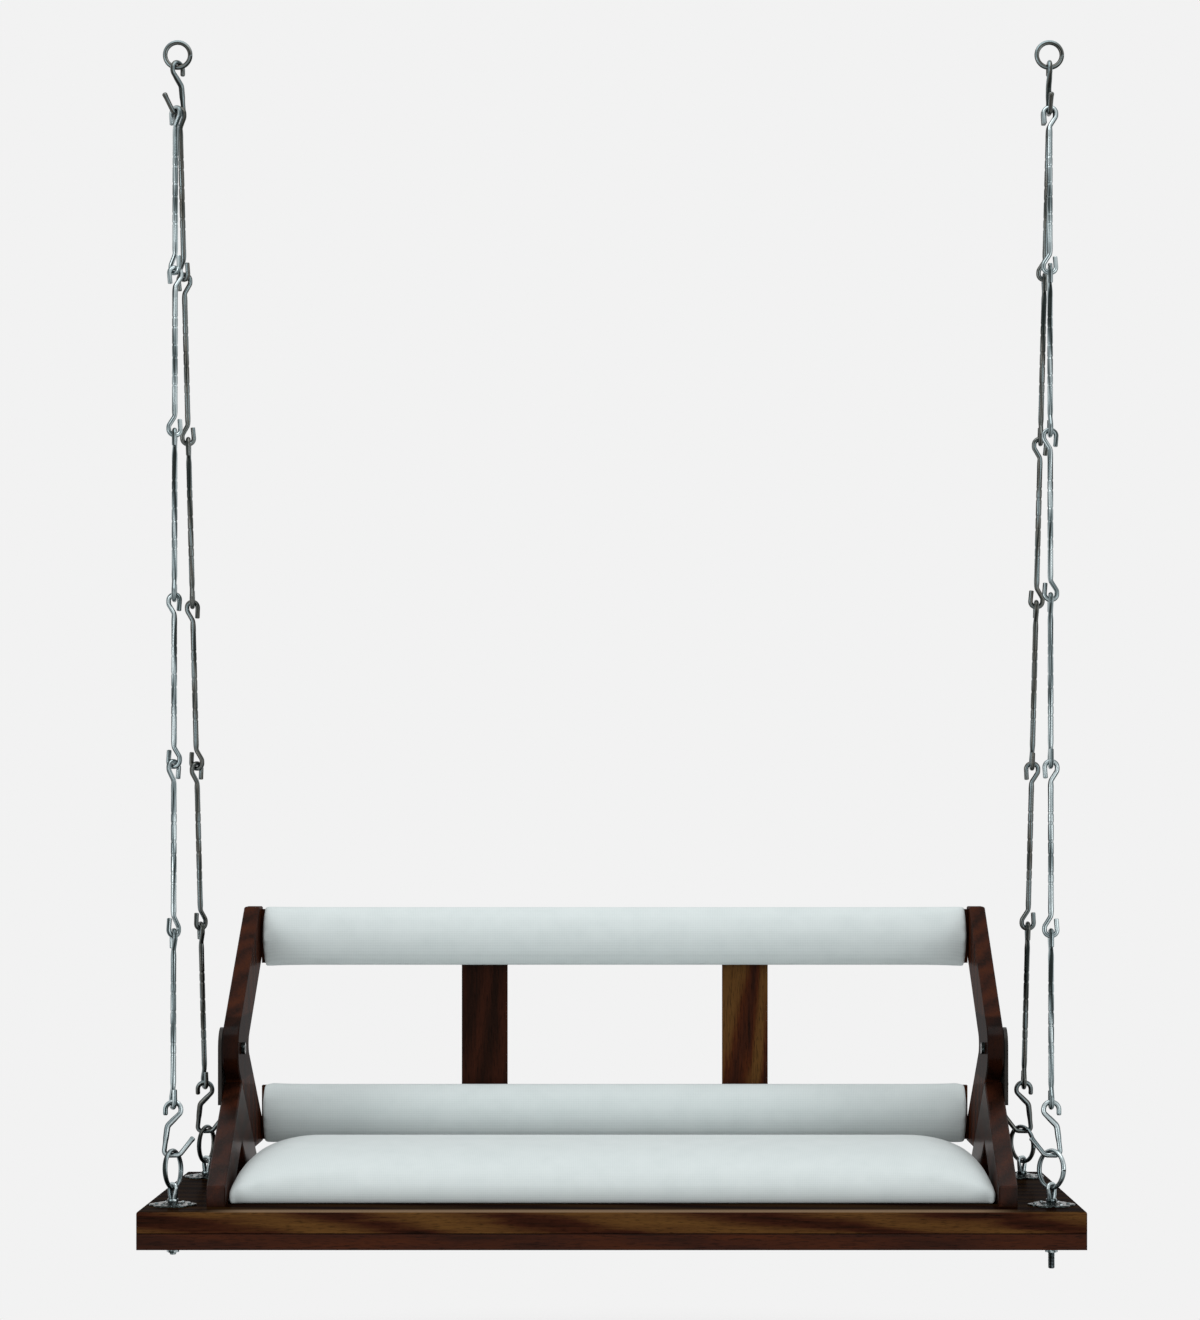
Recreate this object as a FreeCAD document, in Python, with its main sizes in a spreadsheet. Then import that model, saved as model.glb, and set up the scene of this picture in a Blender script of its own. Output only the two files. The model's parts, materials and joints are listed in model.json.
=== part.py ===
"""Hanging wooden swing seat with a walk-over back rest, as a parametric document.

The origin lies midway between the two ceiling rings. Seen from the front, +X runs to the right,
+Y runs to the back and +Z runs up. Sizes are in millimetres and degrees.
"""
import FreeCAD, Part
import math
import os

import Sketcher
from FreeCAD import Placement, Rotation, Vector

# Driving sizes: alias, value and meaning
SIZES = (
    ("deck_length", 1500, "plank, end to end"),
    ("deck_depth", 600, "plank, front to back"),
    ("deck_thickness", 34, "upper layer of the plank"),
    ("deck_boards", 4, "boards glued edge to edge in the upper layer"),
    ("frame_thickness", 27, "lower layer of the plank"),
    ("rail_width", 60, "front and back rail of the lower layer"),
    ("end_rail_width", 90, "end rail of the lower layer"),
    ("batten_width", 70, "cross batten of the lower layer"),
    ("batten_offset", 250, "batten from the middle of the plank"),
    ("plank_round", 4, "rounded outer edges of the plank"),
    ("seam_bevel", 1.2, "bevelled upper edge of the long rails, under the seam"),
    ("wood_ease", 2, "bevelled edges of the frame pieces"),
    ("seat_drop", 1900, "top of the plank below the ceiling rings' centres"),
    ("hang_setback", 41.1, "middle of the plank in front of the hanging line"),
    ("ring_lean", 27, "ceiling ring outside the eyebolts below it"),
    ("ring_outer", 50, "ceiling ring, outer diameter"),
    ("ring_wire", 8, "ceiling ring, wire"),
    ("wire_sides", 6, "flats round a wire's section"),
    ("bend_step", 30, "largest turn at one mitre of a bent wire"),
    ("ring_mitres", 20, "mitres round a welded ring"),
    ("link_wire", 8, "rods and hooks, wire"),
    ("link_gap", 0.4, "clearance where two links bear on each other"),
    ("hook_height", 85, "hook, top of the loop to bottom of the bend, on the wire's middle"),
    ("hook_loop", 12.4, "half width of the hook's loop"),
    ("hook_loop_bend", 12, "bend of the hook's loop"),
    ("hook_loop_tail", 21, "end of the hook's loop below its top"),
    ("hook_shoulder", 17, "shoulder of the hook below its top"),
    ("hook_shoulder_bend", 9, "bend of the hook's shoulder"),
    ("hook_waist", 38, "waist of the hook below its top"),
    ("hook_waist_inset", 9, "waist of the hook beside its line of pull"),
    ("hook_waist_bend", 12, "bend of the hook's waist"),
    ("hook_heel", 14, "heel of the hook beside its line of pull"),
    ("hook_heel_bend", 8, "bend of the hook's heel"),
    ("hook_toe", 10.5, "toe of the hook beside its line of pull"),
    ("hook_toe_bend", 10, "bend of the hook's toe"),
    ("hook_tip", 33, "tip of the hook beside its line of pull"),
    ("hook_tip_rise", 28, "tip of the hook above its bend"),
    ("left_hook_turn", 35, "left top hook, turned out of the plane across the seat"),
    ("pair_pitch", 10.8, "two rods side by side on a top hook"),
    ("rods_per_chain", 6, "rods in each chain"),
    ("rod_eye", 10.5, "half width of a rod's eye"),
    ("rod_eye_bend", 9.4, "bend of a rod's eye"),
    ("rod_tail", 28, "end of a rod's eye below its top"),
    ("rod_tail_lean", 2, "lean of the end of a rod's eye"),
    ("rod_shoulder", 15, "shoulder of a rod's eye below its top"),
    ("rod_shoulder_bend", 10, "bend of a rod's shoulder"),
    ("rod_neck", 32, "neck of a rod below the top of its eye"),
    ("rod_neck_bend", 12, "bend of a rod's neck"),
    ("left_rod_turn", -40, "first left rod, turned about its line"),
    ("tie_ring_outer", 67, "ring between hook and eyebolt, outer diameter"),
    ("tie_ring_wire", 6.5, "ring between hook and eyebolt, wire"),
    ("left_tie_turn", 73, "left ring between hook and eyebolt, turned about its line"),
    ("right_tie_turn", 57, "right ring between hook and eyebolt, turned about its line"),
    ("eye_inset", 46, "eyebolt from the end of the plank"),
    ("eye_edge", 90, "eyebolt from the front or back edge of the plank"),
    ("eye_pin_height", 34, "top of the eye above the plank, on the wire's middle"),
    ("eye_half_width", 10, "half width of the eye at its top"),
    ("eye_bend", 6.5, "bends at the top of the eye"),
    ("eye_foot", 4.2, "leg of the eye beside the bolt's middle, inside the collar"),
    ("eye_wire", 6.5, "eye of the eyebolt, wire"),
    ("eye_turn", -45, "left eyes, turned about the bolt"),
    ("bolt_diameter", 11, "shank of the eyebolt"),
    ("bolt_clearance", 0.5, "hole round a shank, on the radius"),
    ("bolt_tail", 18, "shank below the plank"),
    ("long_bolt_tail", 40, "shank below the plank at the front right"),
    ("collar_diameter", 18, "collar of the eyebolt"),
    ("collar_sides", 10, "flats round the eyebolt's collar and shank"),
    ("collar_height", 5, "collar of the eyebolt"),
    ("rosette_radius", 26, "rosette plate, from its centre to the lobes' centres"),
    ("rosette_lobe", 12, "lobe of the rosette plate, radius"),
    ("rosette_lobes", 6, "lobes of a rosette plate"),
    ("rosette_thickness", 2.5, "rosette plate"),
    ("rosette_boss", 14, "raised middle of the rosette plate, radius"),
    ("rosette_boss_height", 3, "raised middle of the rosette plate"),
    ("bolt_washer", 26, "washer under the plank, diameter"),
    ("bolt_washer_thickness", 3, "washer under the plank"),
    ("bolt_washer_sides", 16, "flats round the washer under the plank"),
    ("nut_corner", 10, "nuts, centre to corner"),
    ("nut_thickness", 11, "nuts under the plank"),
    ("thread_clearance", 0.1, "nuts and washers round their bolts, on the radius"),
    ("leg_inset", 102, "outer face of a leg frame from the end of the plank"),
    ("leg_thickness", 30, "leg frames"),
    ("leg_width", 82, "legs, across their length"),
    ("foot_height", 32, "upright toe of a leg"),
    ("pivot_height", 237, "pivot of the back rest above the plank"),
    ("slope", 33, "legs and arms against the level"),
    ("stop_gap", 0.5, "arm above the leg that it rests on"),
    ("arm_width", 94, "arms, across their length"),
    ("arm_thickness", 27, "arms"),
    ("arm_top", 228, "upper end of an arm above the pivot"),
    ("arm_foot", 185, "lower end of an arm below the pivot"),
    ("arm_crook", 18, "rounded inner corner of an arm"),
    ("plate_thickness", 6, "pivot plates"),
    ("plate_width", 70, "pivot plates"),
    ("plate_round", 34, "rounded top of the pivot plates"),
    ("plate_top", 35, "pivot plate above the pivot"),
    ("plate_foot", 92, "pivot plate below the pivot"),
    ("pivot_diameter", 10, "pivot bolts"),
    ("pivot_clearance", 0.1, "pivot bolt in its arm, on the radius"),
    ("pivot_head", 9, "head of a pivot bolt, radius"),
    ("pivot_head_height", 3, "head of a pivot bolt"),
    ("pivot_washer", 32, "washer between plate and arm, diameter"),
    ("washer_thickness", 2, "washer between plate and arm"),
    ("pivot_nut_thickness", 6, "nut inside an arm"),
    ("side_gap", 0.3, "arm beside its washer and its nut"),
    ("pad_front", 262, "crest of the back pads behind the pivot"),
    ("pad_thickness", 36, "back pads"),
    ("pad_edge", 14, "back pads at their upper and lower edge"),
    ("pad_height", 104, "back pads"),
    ("pad_inset", 4, "back pad beside the arm"),
    ("pad_taper", 2, "back pads drawn in at their ends"),
    ("pad_shoulder", 20, "length of the drawn-in end of a back pad"),
    ("upper_pad_base", 124, "lower edge of the upper pad above the pivot"),
    ("lower_pad_top", 81, "upper edge of the lower pad below the pivot"),
    ("board_thickness", 18, "boards behind the back pads"),
    ("board_inset", 5, "boards short of the pads' upper and lower edges"),
    ("slat_width", 80, "upright slats"),
    ("slat_thickness", 18, "upright slats"),
    ("slat_offset", 229, "slat from the middle"),
    ("slat_margin", 10, "slat short of the pads' outer edges"),
    ("cushion_margin", 100, "plank in front of and behind the seat cushion"),
    ("cushion_gap", 1, "seat cushion beside the leg frames"),
    ("cushion_crown", 93, "seat cushion at its middle"),
    ("cushion_edge", 14, "seat cushion at its rim"),
    ("cushion_round", 150, "length of the sloping ends of the seat cushion"),
    ("cushion_brow", 95, "depth of the rounded front and back of the seat cushion"),
    ("cushion_sink", 9, "brow of the seat cushion below its middle"),
    ("cushion_draw", 5, "long sides of the seat cushion drawn in at the middle"),
    ("end_fall", 84, "angle whose cosine the fullness of a soft end falls to"),
)

doc = FreeCAD.newDocument("SwingSeat")
sheet = doc.addObject("Spreadsheet::Sheet", "Sizes")
nodes = []


def fill_sheet():
    """One row for each driving size: its meaning, then its value under its alias."""
    for row, (alias, value, meaning) in enumerate(SIZES, start=1):
        sheet.set(f"A{row}", meaning)
        sheet.set(f"B{row}", str(value))
        sheet.setAlias(f"B{row}", alias)
    doc.recompute()


def number(text):
    """Value of an expression on the sheet."""
    return float(sheet.evalExpression(text))


def size(alias):
    """Value of one driving size."""
    return number(f"Sizes.{alias}")


# Places that several pieces share, as expressions on the sheet
SEAT_Y = "-Sizes.hang_setback"
SEAT_Z = "-Sizes.seat_drop"
PIVOT_Z = "-Sizes.seat_drop + Sizes.pivot_height"
PLANK_THICKNESS = "(Sizes.deck_thickness + Sizes.frame_thickness)"
LEG_OUTSIDE = "(Sizes.deck_length / 2 - Sizes.leg_inset)"
LEG_MIDDLE = f"({LEG_OUTSIDE} - Sizes.leg_thickness / 2)"
LEG_INSIDE = f"({LEG_OUTSIDE} - Sizes.leg_thickness)"
ARM_OUTSIDE = f"({LEG_OUTSIDE} - Sizes.washer_thickness - Sizes.side_gap)"
ARM_MIDDLE = f"({ARM_OUTSIDE} - Sizes.arm_thickness / 2)"
ARM_INSIDE = f"({ARM_OUTSIDE} - Sizes.arm_thickness)"
PAD_BACK = "(Sizes.pad_front + Sizes.pad_thickness)"
BOARD_BACK = f"({PAD_BACK} + Sizes.board_thickness)"
EYE_X = "(Sizes.deck_length / 2 - Sizes.eye_inset)"
EYE_Y = "(Sizes.deck_depth / 2 - Sizes.eye_edge)"
RING_X = f"({EYE_X} + Sizes.ring_lean)"
ROSETTE_HEIGHT = "(Sizes.rosette_thickness + Sizes.rosette_boss_height)"
CUSHION_HALF = "(Sizes.deck_depth / 2 - Sizes.cushion_margin)"
SIDES = (("left", -1), ("right", 1))
ENDS = (("front", -1), ("back", 1))


def put(item, x="0", y=SEAT_Y, z=SEAT_Z):
    """Bind the place of a piece to the sheet."""
    for axis, text in (("x", x), ("y", y), ("z", z)):
        item.setExpression(f"Placement.Base.{axis}", text)


def keep(item, label):
    """Name a finished piece and list it for writing."""
    item.Label = label
    nodes.append(item)


def origin_plane(body, role):
    """One of a body's own origin planes."""
    return next(item for item in body.Origin.OriginFeatures if item.Role == role)


def new_sketch(body, role, suffix):
    """Empty sketch on one of a body's own origin planes."""
    sketch = body.newObject("Sketcher::SketchObject", f"{body.Name}_{suffix}")
    sketch.AttachmentSupport = [(origin_plane(body, role), "")]
    sketch.MapMode = "FlatFace"
    return sketch


def polygon(body, corners, role="YZ_Plane", suffix="outline"):
    """Closed outline on an origin plane; each corner is a pair of expressions."""
    sketch = new_sketch(body, role, suffix)
    points = [Vector(number(across), number(up), 0) for across, up in corners]
    count = len(points)
    for index in range(count):
        sketch.addGeometry(Part.LineSegment(points[index], points[(index + 1) % count]), False)
    for index in range(count):
        sketch.addConstraint(Sketcher.Constraint("Coincident", index, 2, (index + 1) % count, 1))
    for index, corner in enumerate(corners):
        for axis, text in zip(("DistanceX", "DistanceY"), corner):
            rule = sketch.addConstraint(Sketcher.Constraint(axis, -1, 1, index, 1, number(text)))
            sketch.setExpression(f"Constraints[{rule}]", text)
    return sketch


def board(name, corners, length):
    """Side-view outline carried along X, evenly about the middle."""
    body = doc.addObject("PartDesign::Body", name)
    pad = body.newObject("PartDesign::Pad", f"{name}_pad")
    pad.Profile = polygon(body, corners)
    pad.SideType = "Symmetric"
    pad.setExpression("Length", length)
    doc.recompute()
    return body


def rectangle(front, back, bottom, top):
    """Corners of an upright rectangle in the side view."""
    return ((front, bottom), (back, bottom), (back, top), (front, top))


def holes(body, role, centres, radius):
    """Round holes right through a body, square to one of its origin planes."""
    sketch = new_sketch(body, role, "holes")
    for index, centre in enumerate(centres):
        place = Vector(number(centre[0]), number(centre[1]), 0)
        sketch.addGeometry(Part.Circle(place, Vector(0, 0, 1), number(radius)), False)
        for axis, text in zip(("DistanceX", "DistanceY"), centre):
            rule = sketch.addConstraint(Sketcher.Constraint(axis, -1, 1, index, 3, number(text)))
            sketch.setExpression(f"Constraints[{rule}]", text)
        rule = sketch.addConstraint(Sketcher.Constraint("Radius", index, number(radius)))
        sketch.setExpression(f"Constraints[{rule}]", radius)
    pocket = body.newObject("PartDesign::Pocket", f"{body.Name}_pocket")
    pocket.Profile = sketch
    pocket.Type = "ThroughAll"
    pocket.SideType = "Symmetric"
    before = body.Shape.Volume
    doc.recompute()
    if body.Shape.Volume >= before:
        raise RuntimeError(f"{body.Name}: the holes cut nothing")


def round_edges(body, radius, chosen):
    """Round the edges of a body that a test picks."""
    base = body.Tip
    edges = [f"Edge{count}" for count, edge in enumerate(base.Shape.Edges, start=1) if chosen(edge)]
    fillet = body.newObject("PartDesign::Fillet", f"{body.Name}_round{len(body.Group)}")
    fillet.Base = (base, edges)
    fillet.setExpression("Radius", radius)
    doc.recompute()


def bevel_edges(body, width, chosen):
    """Bevel the edges of a body that a test picks."""
    base = body.Tip
    edges = [f"Edge{count}" for count, edge in enumerate(base.Shape.Edges, start=1) if chosen(edge)]
    chamfer = body.newObject("PartDesign::Chamfer", f"{body.Name}_bevel")
    chamfer.Base = (base, edges)
    chamfer.setExpression("Size", width)
    doc.recompute()


def along_x(y, z):
    """Test for the edge along X that passes a point of the side view."""
    def test(edge):
        box = edge.BoundBox
        close = abs(box.YMin - y) < 0.01 and abs(box.ZMin - z) < 0.01
        return close and box.YLength < 0.01 and box.ZLength < 0.01
    return test


def on_end_faces(length):
    """Test for the edges that bound a board's two end faces."""
    def test(edge):
        box = edge.BoundBox
        return box.XLength < 0.01 and abs(abs(box.XMin) - length / 2) < 0.01
    return test


def primitive(kind, name, turn=None, **properties):
    """Part primitive whose sizes are bound to the sheet, turned about its own origin."""
    item = doc.addObject(kind, name)
    for key, text in properties.items():
        item.setExpression(key, text)
    if turn is not None:
        item.Placement = Placement(Vector(), turn)
    return item


def fuse(name, pieces):
    """One solid made of several."""
    item = doc.addObject("Part::MultiFuse", name)
    item.Shapes = pieces
    return item


def cut(name, base, tool):
    """One solid less another."""
    item = doc.addObject("Part::Cut", name)
    item.Base = base
    item.Tool = tool
    return item


def group(label, pieces):
    """Like pieces that share a node, each a solid of its own."""
    item = doc.addObject("Part::Compound", label)
    item.Links = pieces
    keep(item, label)


def feature(label, shape, placement):
    """Piece whose shape is worked out below from the sheet."""
    item = doc.addObject("Part::Feature", label)
    item.Shape = shape
    item.Placement = placement
    keep(item, label)


# Plank

def deck_boards():
    """Upper layer: boards glued edge to edge, with holes for the eyebolts."""
    count = int(size("deck_boards"))
    width = f"Sizes.deck_depth / {count}"
    for index in range(count):
        front = f"-Sizes.deck_depth / 2 + {index} * {width}"
        body = board(
            f"deck_board_{index + 1}",
            rectangle(front, f"{front} + {width}", "-Sizes.deck_thickness", "0"),
            "Sizes.deck_length",
        )
        for _, way in ENDS:
            bolt_y = f"{way} * {EYE_Y}"
            if number(front) < number(bolt_y) < number(f"{front} + {width}"):
                centres = [(f"{side} * {EYE_X}", bolt_y) for _, side in SIDES]
                holes(body, "XY_Plane", centres, "Sizes.bolt_diameter / 2 + Sizes.bolt_clearance")
        edge = size("deck_depth") / 2
        length = size("deck_length")

        def outer(part_edge):
            box = part_edge.BoundBox
            at_rim = box.YLength < 0.01 and abs(abs(box.YMin) - edge) < 0.01
            upper = box.ZMin > -0.01 or box.ZLength > 1
            at_end = box.XLength < 0.01 and abs(abs(box.XMin) - length / 2) < 0.01 and box.ZMin > -0.01
            return (at_rim and upper) or at_end
        round_edges(body, "Sizes.plank_round", outer)
        put(body)
        keep(body, f"deck_board_{index + 1}")


def under_frame():
    """Lower layer: long rails, end rails that take the bolts, and two cross battens."""
    top = "-Sizes.deck_thickness"
    bottom = f"-{PLANK_THICKNESS}"
    inner = "(Sizes.deck_depth / 2 - Sizes.rail_width)"
    edge = size("deck_depth") / 2
    for end, way in ENDS:
        outer = f"{way} * Sizes.deck_depth / 2"
        near = f"{way} * {inner}"
        low, high = sorted((outer, near), key=number)
        body = board(f"{end}_rail", rectangle(low, high, bottom, top), "Sizes.deck_length")
        bevel_edges(body, "Sizes.seam_bevel", along_x(number(outer), number(top)))

        def rim(part_edge):
            box = part_edge.BoundBox
            at_rim = box.YLength < 0.01 and abs(abs(box.YMin) - edge) < 0.01
            return at_rim and (box.ZLength > 1 or box.ZMin < number(bottom) + 0.01)
        round_edges(body, "Sizes.plank_round", rim)
        put(body)
        keep(body, f"{end}_rail")
    crosswise = rectangle(f"-{inner}", inner, bottom, top)
    for side, way in SIDES:
        body = board(f"{side}_end_rail", crosswise, "Sizes.end_rail_width")
        middle = f"{way} * (Sizes.deck_length - Sizes.end_rail_width) / 2"
        bolt_x = f"{way} * {EYE_X} - ({middle})"
        centres = [(bolt_x, f"{turn} * {EYE_Y}") for _, turn in ENDS]
        holes(body, "XY_Plane", centres, "Sizes.bolt_diameter / 2 + Sizes.bolt_clearance")
        put(body, x=middle)
        keep(body, f"{side}_end_rail")
        body = board(f"{side}_batten", crosswise, "Sizes.batten_width")
        put(body, x=f"{way} * Sizes.batten_offset")
        keep(body, f"{side}_batten")


# Leg frames with their pivots

def leg_frames():
    """Two sloping legs at each side, mitred together under the pivot."""
    stop = "(Sizes.arm_width / 2 + Sizes.stop_gap)"
    ridge = f"(Sizes.pivot_height - {stop} / cos(Sizes.slope))"
    crotch = f"({ridge} - Sizes.leg_width / cos(Sizes.slope))"
    toe = f"(({ridge} - Sizes.foot_height) / tan(Sizes.slope))"
    heel = f"({crotch} / tan(Sizes.slope))"
    thickness = size("leg_thickness")
    for side, way in SIDES:
        for end, turn in (("front", -1), ("rear", 1)):
            name = f"{side}_{end}_leg"
            corners = (
                (f"{turn} * {toe}", "0"),
                (f"{turn} * {toe}", "Sizes.foot_height"),
                ("0", ridge),
                ("0", crotch),
                (f"{turn} * {heel}", "0"),
            )
            body = board(name, corners, "Sizes.leg_thickness")
            toe_y = turn * number(toe)
            foot = size("foot_height")

            def show(edge):
                box = edge.BoundBox
                above = box.ZMax > 1 and abs(box.YMin) + abs(box.YMax) > 1
                return above and (on_end_faces(thickness)(edge) or along_x(toe_y, foot)(edge))
            bevel_edges(body, "Sizes.wood_ease", show)
            put(body, x=f"{way} * {LEG_MIDDLE}")
            keep(body, name)


def pivot_plates():
    """Steel plate on the outside of each leg frame, drilled for the pivot bolt."""
    half = "Sizes.plate_width / 2"
    for side, way in SIDES:
        name = f"{side}_pivot_plate"
        corners = rectangle(f"-{half}", half, "-Sizes.plate_foot", "Sizes.plate_top")
        body = board(name, corners, "Sizes.plate_thickness")
        for turn in (-1, 1):
            corner = along_x(turn * number(half), size("plate_top"))
            round_edges(body, "Sizes.plate_round", corner)
        holes(body, "YZ_Plane", [("0", "0")], "Sizes.pivot_diameter / 2 + Sizes.thread_clearance")
        put(body, x=f"{way} * ({LEG_OUTSIDE} + Sizes.plate_thickness / 2)", z=PIVOT_Z)
        keep(body, name)


def pivot_hardware():
    """Pivot bolts, the washers between plate and arm, and the nuts inside the arms."""
    along = {-1: Rotation(Vector(0, 1, 0), 90), 1: Rotation(Vector(0, 1, 0), -90)}
    outer = f"({LEG_OUTSIDE} + Sizes.plate_thickness)"
    nut_face = f"({ARM_INSIDE} - Sizes.side_gap)"
    bolt_end = f"({nut_face} - Sizes.pivot_nut_thickness)"
    hole = "Sizes.pivot_diameter / 2 + Sizes.thread_clearance"
    bolts, washers, nuts = [], [], []
    for side, way in SIDES:
        turn = along[way]
        shank = primitive(
            "Part::Cylinder", f"{side}_pivot_shank", turn,
            Radius="Sizes.pivot_diameter / 2", Height=f"{outer} - {bolt_end}",
        )
        put(shank, x=f"{way} * {outer}", z=PIVOT_Z)
        head = primitive(
            "Part::Cone", f"{side}_pivot_head", turn,
            Radius1="Sizes.pivot_head - Sizes.pivot_head_height", Radius2="Sizes.pivot_head",
            Height="Sizes.pivot_head_height",
        )
        put(head, x=f"{way} * ({outer} + Sizes.pivot_head_height)", z=PIVOT_Z)
        bolts.append(fuse(f"{side}_pivot_bolt", [shank, head]))
        disc = primitive(
            "Part::Cylinder", f"{side}_washer_disc", turn,
            Radius="Sizes.pivot_washer / 2", Height="Sizes.washer_thickness",
        )
        put(disc, x=f"{way} * {LEG_OUTSIDE}", z=PIVOT_Z)
        disc_hole = primitive(
            "Part::Cylinder", f"{side}_washer_hole", turn, Radius=hole, Height="Sizes.washer_thickness",
        )
        put(disc_hole, x=f"{way} * {LEG_OUTSIDE}", z=PIVOT_Z)
        washers.append(cut(f"{side}_pivot_washer", disc, disc_hole))
        hexagon = primitive(
            "Part::Prism", f"{side}_nut_hexagon", turn,
            Circumradius="Sizes.nut_corner", Height="Sizes.pivot_nut_thickness",
        )
        put(hexagon, x=f"{way} * {nut_face}", z=PIVOT_Z)
        nut_hole = primitive(
            "Part::Cylinder", f"{side}_nut_hole", turn, Radius=hole, Height="Sizes.pivot_nut_thickness",
        )
        put(nut_hole, x=f"{way} * {nut_face}", z=PIVOT_Z)
        nuts.append(cut(f"{side}_pivot_nut", hexagon, nut_hole))
    group("pivot_bolts", bolts)
    group("pivot_washers", washers)
    group("pivot_nuts", nuts)


# Eyebolts with their fittings

def corners_of_plank():
    """Name, side, end, place and tail of each eyebolt."""
    for side, way in SIDES:
        for end, turn in ENDS:
            tail = "Sizes.long_bolt_tail" if (side, end) == ("right", "front") else "Sizes.bolt_tail"
            y = f"{turn} * {EYE_Y} - Sizes.hang_setback"
            yield f"{end}_{side}", way, f"{way} * {EYE_X}", y, tail


def eye_wire():
    """Long eye: two bends above two legs that close towards the collar."""
    half = size("eye_half_width")
    foot = size("eye_foot")
    height = number(f"Sizes.eye_pin_height - {ROSETTE_HEIGHT} - Sizes.collar_height / 2")
    corners = (
        (-foot, height, 0),
        (-half, 0, size("eye_bend")),
        (half, 0, size("eye_bend")),
        (foot, height, 0),
    )
    return bent_wire(corners, size("eye_wire"))


def eyebolts():
    """Bent eye, collar and shank through the whole plank."""
    seat_z = f"{SEAT_Z} + {ROSETTE_HEIGHT}"
    bolts = []
    for name, way, x, y, tail in corners_of_plank():
        eye = doc.addObject("Part::Feature", f"{name}_eye")
        eye.Shape = eye_wire()
        eye.Placement = Placement(Vector(), Rotation(Vector(0, 0, 1), -way * size("eye_turn")))
        put(eye, x, y, f"{SEAT_Z} + Sizes.eye_pin_height")
        collar = primitive(
            "Part::Prism", f"{name}_collar", Polygon="Sizes.collar_sides",
            Circumradius="Sizes.collar_diameter / 2", Height="Sizes.collar_height",
        )
        put(collar, x, y, seat_z)
        foot_z = f"{SEAT_Z} - {PLANK_THICKNESS} - {tail}"
        shank = primitive(
            "Part::Prism", f"{name}_shank", Polygon="Sizes.collar_sides",
            Circumradius="Sizes.bolt_diameter / 2", Height=f"{seat_z} + Sizes.collar_height - ({foot_z})",
        )
        put(shank, x, y, foot_z)
        bolts.append(fuse(f"{name}_eyebolt", [eye, collar, shank]))
    group("eyebolts", bolts)


def plate_pad(body, name, count, radius, height, across="0"):
    """Many-sided pad of a body, its centre moved along X."""
    corners = []
    for step in range(count):
        angle = 360 * (step + 0.5) / count
        corners.append((f"{across} + {radius} * cos({angle})", f"{radius} * sin({angle})"))
    pad = body.newObject("PartDesign::Pad", f"{body.Name}_{name}_pad")
    pad.Profile = polygon(body, corners, "XY_Plane", name)
    pad.setExpression("Length", height)
    doc.recompute()
    return pad


def rosettes():
    """Lobed plate round each eyebolt, with a raised middle."""
    plates = []
    for name, _, x, y, _ in corners_of_plank():
        body = doc.addObject("PartDesign::Body", f"{name}_rosette")
        thickness = "Sizes.rosette_thickness"
        plate_pad(body, "disc", 12, "Sizes.rosette_radius", thickness)
        lobe = plate_pad(body, "lobe", 10, "Sizes.rosette_lobe", thickness, "Sizes.rosette_radius")
        ring = body.newObject("PartDesign::PolarPattern", f"{name}_lobes")
        ring.Originals = [lobe]
        ring.Axis = (next(item for item in body.Origin.OriginFeatures if item.Role == "Z_Axis"), [""])
        ring.Angle = 360
        ring.setExpression("Occurrences", "Sizes.rosette_lobes")
        body.Tip = ring
        doc.recompute()
        plate_pad(body, "boss", 12, "Sizes.rosette_boss", ROSETTE_HEIGHT)
        holes(body, "XY_Plane", [("0", "0")], "Sizes.bolt_diameter / 2 + Sizes.thread_clearance")
        put(body, x, y, SEAT_Z)
        plates.append(body)
    group("rosettes", plates)


def nuts_under_plank():
    """Washer and nut on the lower end of each eyebolt."""
    under = f"{SEAT_Z} - {PLANK_THICKNESS}"
    hole = "Sizes.bolt_diameter / 2 + Sizes.thread_clearance"
    washer_z = f"{under} - Sizes.bolt_washer_thickness"
    nut_z = f"{washer_z} - Sizes.nut_thickness"
    washers, nuts = [], []

    def bored(name, x, y, z, sides, radius, height):
        pieces = []
        for part, flats, corner in (("block", sides, radius), ("bore", "Sizes.collar_sides", hole)):
            prism = primitive(
                "Part::Prism", f"{name}_{part}", Polygon=flats, Circumradius=corner, Height=height,
            )
            put(prism, x, y, z)
            pieces.append(prism)
        return cut(name, *pieces)
    for name, _, x, y, _ in corners_of_plank():
        washers.append(bored(
            f"{name}_washer", x, y, washer_z,
            "Sizes.bolt_washer_sides", "Sizes.bolt_washer / 2", "Sizes.bolt_washer_thickness",
        ))
        nuts.append(bored(f"{name}_nut", x, y, nut_z, "6", "Sizes.nut_corner", "Sizes.nut_thickness"))
    group("eyebolt_washers", washers)
    group("eyebolt_nuts", nuts)


# Ceiling rings, hooks and chains

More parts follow.
